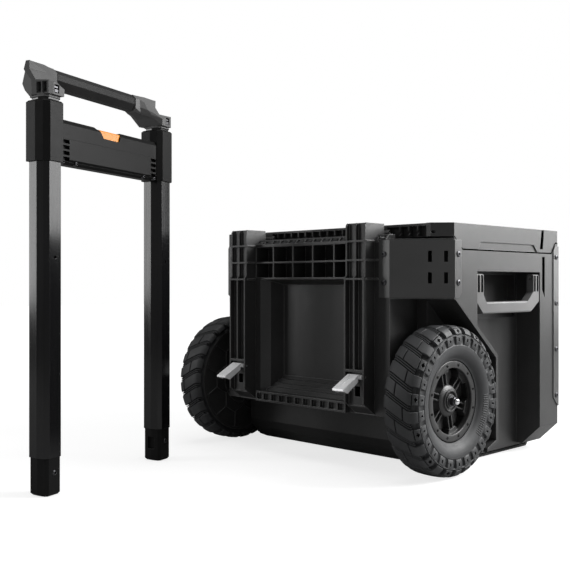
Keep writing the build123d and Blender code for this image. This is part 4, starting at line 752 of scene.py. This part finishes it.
def make_ring_bolts(word, side):
    """Black socket bolts in the bead ring."""
    own = wheel_place(side)
    build = Build()
    for k in range(RING_BOLTS):
        angle = math.radians(15 + 360 / RING_BOLTS * k)
        cy, cz = BOLT_CIRCLE * math.cos(angle), BOLT_CIRCLE * math.sin(angle)

        def ring(x, radius):
            points = []
            for i in range(HEAD_SIDES):
                t = 2 * math.pi * i / HEAD_SIDES
                py, pz = cy + radius * math.cos(t), cz + radius * math.sin(t)
                points.append(own(x, math.hypot(py, pz), math.atan2(pz, py)))
            return points
        line = [(256.2, 2.0), (256.8, 2.0), (257.0, 1.7), (257.0, 1.2), (256.2, 1.1)]
        loops = [[build.vert(p) for p in ring(x, r)] for x, r in line]
        for a, b in zip(loops, loops[1:]):
            join_loops(build, a, b)
        build.face(*loops[-1])
        build.face(*reversed(loops[0]))
    make_piece(f"ring_bolts_{word}_heads", build, "bolt_black", f"wheel_{word}",
               [f"ring_bolts_{word}"], crease=30)


for side_word, side_sign in SIDES:
    make_tyre(side_word, side_sign)
    make_rim(side_word, side_sign)
    make_bead_ring(side_word, side_sign)
    make_ring_bolts(side_word, side_sign)


# ---------------------------------------------------------------- fasteners

HANDLE_TURN = math.radians(18.9)
HANDLE_FRONT = Vector((math.cos(HANDLE_TURN), math.sin(HANDLE_TURN), 0))
# Side of a domed head and of its socket, as shares of the head's radius and height.
HEAD_LINE = [(1.0, 0.0), (1.0, 0.4), (0.94, 0.66), (0.8, 0.86), (0.6, 0.98), (0.5, 1.0)]
SOCKET_LINE = [(0.44, 1.0), (0.42, 0.25)]
SOCKET_LOBE = 0.13
LOBES = 6


def body_name(node):
    """Body that a CAD node rides on."""
    return body_of(NODES[node])[0]


def islands(node):
    """Loose parts of a CAD node, each as its points in millimetres."""
    mesh = node.data
    keys = [tuple(round(c * 1e5) for c in node.matrix_world @ vertex.co)
            for vertex in mesh.vertices]
    owner = {key: key for key in keys}

    def find(key):
        while owner[key] != key:
            owner[key] = owner[owner[key]]
            key = owner[key]
        return key

    for polygon in mesh.polygons:
        for index in polygon.vertices[1:]:
            owner[find(keys[index])] = find(keys[polygon.vertices[0]])
    groups = {}
    for key in sorted(owner):
        groups.setdefault(find(key), []).append(Vector(key) / 100.0)
    return [groups[key] for key in sorted(groups)]


def add_turned(build, base, axis, line, steps=28):
    """Revolve (radius, height, lobe) points about an axis through a base point."""
    side = axis.orthogonal().normalized()
    up = axis.cross(side)
    loops = []
    for radius, height, lobe in line:
        loop = []
        for k in range(steps):
            angle = 2 * math.pi * k / steps
            reach = radius * (1 + lobe * math.cos(LOBES * angle))
            loop.append(build.vert(base + side * (reach * math.cos(angle))
                                   + up * (reach * math.sin(angle)) + axis * height))
        loops.append(loop)
    skin_loops(build, loops)


def add_screw(build, points, axis):
    """Domed head with a six-lobed socket, where a CAD head stands."""
    middle = sum(points, Vector()) / len(points)
    heights = [(point - middle).dot(axis) for point in points]
    low, high = min(heights), max(heights)
    radius = max(((p - middle) - axis * (p - middle).dot(axis)).length for p in points)
    line = [(radius * r, low + (high - low) * h, 0.0) for r, h in HEAD_LINE]
    line += [(radius * r, low + (high - low) * h, SOCKET_LOBE) for r, h in SOCKET_LINE]
    add_turned(build, middle, axis, line)


def thin_axis(points):
    """World axis along which a head is thinnest, turned away from the middle of the box."""
    spans = [max(p[i] for p in points) - min(p[i] for p in points) for i in range(3)]
    index = spans.index(min(spans))
    axis = Vector((0, 0, 0))
    axis[index] = 1.0 if points[0][index] > 0 else -1.0
    return axis


def make_screws(name, node, axis=None):
    """Domed heads in the places of a CAD node's heads."""
    build = Build()
    for points in islands(NODES[node]):
        add_screw(build, points, axis or thin_axis(points))
    make_piece(name, build, "dark_fastener", body_name(node), [node], crease=28)


def make_axle_nuts():
    """Black collars and bright domed tips on the axle's ends."""
    collar = Build()
    tip = Build()
    for points in islands(NODES["axle_nuts"]):
        side = 1 if points[0].x > 0 else -1
        axis = Vector((side, 0, 0))
        base = Vector((0, AXLE_Y, AXLE_Z))
        start = min(abs(p.x) for p in points)
        end = max(abs(p.x) for p in points)
        line = [(5.1, start), (8.4, start), (8.4, start + 1.0), (8.0, start + 1.5),
                (6.5, start + 1.5), (6.5, end - 6.0), (6.1, end - 5.6), (5.1, end - 5.6)]
        add_turned(collar, base, axis, [(r, h, 0.0) for r, h in line])
        dome = [(5.0, end - 6.4), (5.1, end - 5.4), (5.1, end - 4.2), (4.9, end - 2.4),
                (4.2, end - 1.1), (3.0, end - 0.4), (1.5, end - 0.05)]
        add_turned(tip, base, axis, [(r, h, 0.0) for r, h in dome])
    body = body_name("axle_nuts")
    make_piece("axle_nut_collars", collar, "dark_fastener", body, ["axle_nuts"], crease=30)
    make_piece("axle_nut_tips", tip, "bright_steel", body, crease=40)


make_screws("bracket_screw_heads", "bracket_screws")
make_screws("cover_screw_heads", "cover_screws", HANDLE_FRONT)
for leg_word in ("near", "far"):
    make_screws(f"foot_rivet_{leg_word}_head", f"foot_rivet_{leg_word}", HANDLE_FRONT)
make_axle_nuts()


# ---------------------------------------------------------------- handle brackets

HANDLE_PLACE = (-125.8, -519.3)
LEG_X = 134.0


def handle_point(x, y, z):
    """Row-frame place of a point in the handle's own frame."""
    return (HANDLE_PLACE[0] + x * math.cos(HANDLE_TURN) - y * math.sin(HANDLE_TURN),
            HANDLE_PLACE[1] + x * math.sin(HANDLE_TURN) + y * math.cos(HANDLE_TURN), z)


def carve(piece, cutters):
    """Cut closed shapes out of a piece and drop them."""
    tool = place_object("cutter", make_mesh("cutter", cutters))
    cut = piece.modifiers.new("cut", "BOOLEAN")
    cut.operation = "DIFFERENCE"
    cut.solver = "EXACT"
    cut.object = tool
    graph = bpy.context.evaluated_depsgraph_get()
    made = bpy.data.meshes.new_from_object(piece.evaluated_get(graph))
    piece.modifiers.clear()
    piece.data = made
    bpy.data.objects.remove(tool)


def add_box(build, place, x0, x1, y0, y1, z0, z1):
    """Closed box given in the coordinates that place maps from."""
    low = [place(x0, y0, z0), place(x1, y0, z0), place(x1, y1, z0), place(x0, y1, z0)]
    high = [place(x0, y0, z1), place(x1, y0, z1), place(x1, y1, z1), place(x0, y1, z1)]
    add_block(build, low, high)


# Outlines of a bracket from its outer end to the grip, in the handle's own frame: y, x, z.
BRACKET_SECTIONS = [
    [(150, -11, 550), (150, -11, 561), (150, -12, 571), (150, -25, 587), (150, -21, 598.4),
     (150, -14.5, 598.4), (150, -15, 587), (150, -3.5, 570.5), (148, 17.5, 568.5),
     (148, 17.5, 550)],
    [(139, -23, 550), (137, -35, 561), (136, -40.7, 571), (139, -33, 587), (146, -24, 598.6),
     (146, -16, 598.6), (122, -6.5, 585), (119, 8.5, 569.5), (141, 20.5, 567), (141, 20, 550)],
    [(119.2, -26, 550), (119.2, -38, 566), (119.2, -41, 573), (119.2, -36, 587),
     (119.2, -27, 598.8), (119.2, -16, 598.8), (118, -5.5, 584.5), (115.8, 8.5, 568.5),
     (119.2, 20.8, 560), (119.2, 20, 550)],
    [(112, -26, 561.5), (112, -38, 568), (112, -42, 575), (112, -38.5, 589), (112, -30, 598.8),
     (112, -18, 598.8), (110, -9, 588), (110, -2, 575), (112, 4, 567), (112, 6, 562)],
    [(104, -29, 567.5), (104, -39, 571), (104, -42.2, 577), (104, -41.5, 590),
     (104, -35, 598.8), (104, -20, 598.8), (103, -13.5, 592), (103, -12, 579),
     (104, -12, 570.5), (104, -14, 568)],
    [(94, -35, 571.6), (94, -41, 577), (94, -41.8, 582), (94, -41.8, 591), (94, -35, 598.8),
     (94, -21, 598.8), (94, -14.2, 592), (94, -14.2, 583), (94, -14.8, 577), (94, -21, 571.6)],
]


def make_end_bracket(word, side):
    """Elbow from a leg to the grip: chamfered outer end, two hollows and a latch window."""
    build = Build()
    loops = [[build.vert(handle_point(x, side * y, z)) for y, x, z in section]
             for section in BRACKET_SECTIONS]
    skin_loops(build, loops)
    node = f"end_bracket_{word}"
    body = body_name(node)
    piece = make_piece(f"{node}_elbow", build, "bracket_plastic", body, [node], crease=18)

    def place(x, y, z):
        return handle_point(x, side * y, z)

    cutters = Build()
    for x0, x1 in ((-2.5, 5.0), (7.2, 14.6)):
        add_box(cutters, place, x0, x1, 138, 152, 552.0, 567.2)
    add_box(cutters, place, 14, 24, 129.5, 139.5, 552.5, 564.0)
    carve(piece, cutters)
    collar = Build()
    for z0, z1, grow in ((546.6, 548.6, -0.8), (548.4, 550.2, -2.2)):
        ring = [(x, LEG_X + y) for x, y in leg_ring(grow)]
        add_block(collar, [handle_point(x, side * y, z0) for x, y in ring],
                  [handle_point(x, side * y, z1) for x, y in ring])
    make_piece(f"{node}_collar", collar, "bracket_plastic", body, crease=18)
    catch = Build()
    add_box(catch, place, 15.5, 19.6, 131.0, 138.0, 553.5, 557.5)
    add_box(catch, place, 15.5, 19.0, 131.0, 138.0, 559.5, 562.0)
    make_piece(f"{node}_catch", catch, "dark_fastener", body, crease=18)


def leg_ring(grow):
    """Faceted outline of a leg, grown by a margin."""
    half = 17.0 + grow
    big = 5.5 + grow * 0.5
    return [(-half, half - 3), (-1, half), (half - big, half), (half, half - big),
            (half, big - half), (half - big, -half), (-1, -half), (-half, 3 - half)]


make_end_bracket("near", -1)
make_end_bracket("far", 1)


# ---------------------------------------------------------------- painted shade in the seam and slots

HALF_WIDTH = 257.0
HALF_DEPTH = 158.25
PILLAR_Y = 96.75
# Top edge of the tub: on the sides, on the raised corners, and how far the rise and the flat
# part of a corner reach. The front corner rises a little steeper.
SEAM_HEIGHT = 342.5
CORNER_HEIGHT = 361.0
CORNER_RISE = 22
CORNER_FLAT = 7.5
FRONT_STEEPER = 0.64
# How far the seam's painted-shade strip reaches below and above the tub's top edge.
SEAM_BELOW = 0.5
SEAM_ABOVE = 1.7
LID_SLOT_TOP = 381.0
# Arms of the side handles: their middles and their face, and the slots drawn on them as painted
# shade.
BAIL_MIDDLES = (-85.75, 86.25)
BAIL_FACE = HALF_WIDTH - 1.0
BAIL_SLOT_BOTTOM = 277.4
BAIL_SLOT_TOP = 304.4
BAIL_SLOT_OFFSET = 4.6
BAIL_SLOT_HALF = 2.7
BAIL_RIB_TOP = 303
BAIL_RIB_HALF = 1.8


def side_prism(build, side, outline, x0, x1):
    """Closed prism between two planes of x, from an outline in the (y, z) plane."""
    add_block(build, [(side * x0, y, z) for y, z in outline],
              [(side * x1, y, z) for y, z in outline])


def add_cup(build, side, outline, deep, lip):
    """Floor and walls just inside a slot, whose outline goes round its middle."""
    cy = sum(y for y, _ in outline) / len(outline)
    cz = sum(z for _, z in outline) / len(outline)

    def inner(shrink):
        points = []
        for y, z in outline:
            reach = math.hypot(y - cy, z - cz)
            scale = (reach - shrink) / reach
            points.append((cy + (y - cy) * scale, cz + (z - cz) * scale))
        return points

    loops = [[build.vert((side * x, y, z)) for y, z in inner(shrink)]
             for x, shrink in ((deep, 0.1), (lip, 0.1), (lip, 0.5), (deep + 0.5, 0.5))]
    skin_loops(build, loops)


def side_seam():
    """Top edge of the tub on the side, from the rear corner to the front one."""
    front = HALF_DEPTH - CORNER_FLAT
    return [(-HALF_DEPTH + 0.5, CORNER_HEIGHT), (-HALF_DEPTH + CORNER_RISE, SEAM_HEIGHT),
            (front - CORNER_RISE * FRONT_STEEPER, SEAM_HEIGHT), (front, CORNER_HEIGHT),
            (HALF_DEPTH - 0.5, CORNER_HEIGHT)]


def make_seam_painted_shade():
    """Black strip over the gap between the tub and the lid: painted shade, standing in for the
    shadow in the gap.
    """
    build = Build()
    line = side_seam()
    for _, side in SIDES:
        for (y0, z0), (y1, z1) in zip(line, line[1:]):
            outline = [(y0, z0 - SEAM_BELOW), (y1, z1 - SEAM_BELOW), (y1, z1 + SEAM_ABOVE),
                       (y0, z0 + SEAM_ABOVE)]
            side_prism(build, side, outline, HALF_WIDTH - 5.0, HALF_WIDTH + 0.12)
    make_piece("seam_painted_shade", build, "painted_shade_black", body_name("tub"))


def make_slot_painted_shade():
    """Black cups inside the pointed slots in the sides of the tub and the lid: painted shade on
    their floors and walls.
    """
    low = Build()
    high = Build()
    deep = HALF_WIDTH - 6.9
    lip = HALF_WIDTH - 1.3
    middle = PILLAR_Y + 12.5
    slot = [(middle - 5, SEAM_HEIGHT - 6), (middle + 4, SEAM_HEIGHT - 6),
            (middle + 4, SEAM_HEIGHT - 76.5), (middle - 5, SEAM_HEIGHT - 62.5)]
    middle = PILLAR_Y + 9
    lid_slot = [(middle - 8, SEAM_HEIGHT + 7), (middle + 2, SEAM_HEIGHT + 7),
                (middle + 5.8, LID_SLOT_TOP), (middle - 2.2, LID_SLOT_TOP)]
    for _, side in SIDES:
        add_cup(low, side, slot, deep, lip)
        add_cup(high, side, lid_slot, deep, lip)
    make_piece("tub_slot_painted_shade", low, "painted_shade_black", body_name("tub"))
    make_piece("lid_slot_painted_shade", high, "painted_shade_black", body_name("lid"))


def upright(middle, half, bottom, top):
    """Outline of an upright bar in the (y, z) plane."""
    return [(middle - half, bottom), (middle + half, bottom), (middle + half, top),
            (middle - half, top)]


def make_bail_painted_slots():
    """Two wide black patches in each arm of the side handles, painted shade standing for slots,
    with a rib between them.
    """
    for word, side in SIDES:
        slot_shade = Build()
        ribs = Build()
        body = body_name("side_handle_" + word)
        for middle in BAIL_MIDDLES:
            for y in (middle - BAIL_SLOT_OFFSET, middle + BAIL_SLOT_OFFSET):
                side_prism(slot_shade, side, upright(y, BAIL_SLOT_HALF, BAIL_SLOT_BOTTOM, BAIL_SLOT_TOP),
                           BAIL_FACE - 3.0, BAIL_FACE + 0.1)
            side_prism(ribs, side, upright(middle, BAIL_RIB_HALF, BAIL_SLOT_BOTTOM, BAIL_RIB_TOP),
                       BAIL_FACE - 3.0, BAIL_FACE + 0.05)
        make_piece("bail_slot_shade_" + word, slot_shade, "painted_shade_black", body)
        make_piece("bail_ribs_" + word, ribs, "bail_plastic_painted_light", body)


make_seam_painted_shade()
make_slot_painted_shade()
make_bail_painted_slots()


# ---------------------------------------------------------------- stage

# Strength of the world's light, and what reflections see of it.
AMBIENT = 0.28
GLOSSY_AMBIENT = 0.2
# Floor: half its side, its grey, and its glow to the camera near and far from the object.
FLOOR_HALF = 9.0
FLOOR_DROP = 0.0005
FLOOR_TONE = 0.35
FLOOR_GLOW = 0.75
GLOW_START = 0.9
GLOW_END = 2.4
# Lamps: name, place, what they point at, size, power.
LAMPS = [("key_right", (0.95, 0.62, 0.92), (0.27, 0.02, 0.38), (0.7, 0.9), 32),
         ("left", (-1.35, -1.75, 0.85), (0.15, -0.25, 0.35), (0.5, 1.3), 10),
         ("back", (0.75, 1.55, 0.72), (-0.1, -0.6, 0.45), (0.5, 1.1), 9),
         ("top", (0.1, -0.2, 2.4), (0.1, -0.1, 0.2), (1.6, 1.6), 22)]
# Camera: lens and sensor in millimetres, shift, place, and turn in degrees.
LENS = 54.69
SENSOR = 36.0
SHIFT = -2.0 / 570.0
CAMERA_PLACE = (1.0009, -1.25425, 0.2918)
CAMERA_TURN = 45.24


def make_floor():
    """Pale floor that looks white to the camera and keeps the object's shadow."""
    mesh = bpy.data.meshes.new("floor")
    half = FLOOR_HALF
    mesh.from_pydata([(-half, -half, 0), (half, -half, 0), (half, half, 0), (-half, half, 0)], [],
                     [(0, 1, 2, 3)])
    floor = place_object("floor", mesh)
    floor.location.z = -FLOOR_DROP
    material, tree, shader = new_material("floor_white")
    shader.inputs["Base Color"].default_value = grey(FLOOR_TONE)
    shader.inputs["Roughness"].default_value = 0.8
    shader.inputs["Specular IOR Level"].default_value = 0.0
    distance = tree.nodes.new("ShaderNodeVectorMath")
    distance.operation = "LENGTH"
    tree.links.new(object_coords(tree), distance.inputs[0])
    glow = tree.nodes.new("ShaderNodeMapRange")
    glow.inputs["From Min"].default_value = GLOW_START
    glow.inputs["From Max"].default_value = GLOW_END
    glow.inputs["To Min"].default_value = FLOOR_GLOW
    glow.inputs["To Max"].default_value = 1.0
    tree.links.new(distance.outputs["Value"], glow.inputs["Value"])
    paths = tree.nodes.new("ShaderNodeLightPath")
    seen = tree.nodes.new("ShaderNodeMath")
    seen.operation = "MULTIPLY"
    tree.links.new(paths.outputs["Is Camera Ray"], seen.inputs[0])
    tree.links.new(glow.outputs["Result"], seen.inputs[1])
    tree.links.new(seen.outputs["Value"], shader.inputs["Emission Strength"])
    shader.inputs["Emission Color"].default_value = grey(1.0)
    floor.data.materials.append(material)


def make_world():
    """Soft ambient light, with a white background for the camera and through glass."""
    world = bpy.data.worlds.new("studio")
    bpy.context.scene.world = world
    world.use_nodes = True
    tree = world.node_tree
    soft = tree.nodes["Background"]
    soft.inputs["Color"].default_value = grey(1.0)
    soft.inputs["Strength"].default_value = AMBIENT
    paths = tree.nodes.new("ShaderNodeLightPath")
    last = soft.outputs["Background"]
    for ray, strength in (("Is Glossy Ray", GLOSSY_AMBIENT), ("Is Transmission Ray", 1.0),
                          ("Is Camera Ray", 1.0)):
        shade = tree.nodes.new("ShaderNodeBackground")
        shade.inputs["Color"].default_value = grey(1.0)
        shade.inputs["Strength"].default_value = strength
        mix = tree.nodes.new("ShaderNodeMixShader")
        tree.links.new(paths.outputs[ray], mix.inputs["Fac"])
        tree.links.new(last, mix.inputs[1])
        tree.links.new(shade.outputs["Background"], mix.inputs[2])
        last = mix.outputs["Shader"]
    tree.links.new(last, tree.nodes["World Output"].inputs["Surface"])


def area_light(name, place, target, size, power):
    """Rectangular lamp that the camera doesn't see."""
    data = bpy.data.lights.new(name, "AREA")
    data.shape = "RECTANGLE"
    data.size, data.size_y = size
    data.energy = power
    light = place_object(name, data)
    light.location = place
    light.visible_camera = False
    direction = Vector(target) - Vector(place)
    light.rotation_euler = direction.to_track_quat("-Z", "Y").to_euler()


def make_camera():
    """Level camera that sees the object as the photo does."""
    data = bpy.data.cameras.new("camera")
    data.sensor_width = SENSOR
    data.lens = LENS
    data.shift_y = SHIFT
    camera = place_object("camera", data)
    camera.location = CAMERA_PLACE
    camera.rotation_euler = (math.radians(90), 0, math.radians(CAMERA_TURN))
    bpy.context.scene.camera = camera


dress_nodes()
make_floor()
make_world()
for lamp in LAMPS:
    area_light(*lamp)
make_camera()
bpy.context.scene.view_settings.view_transform = "Standard"
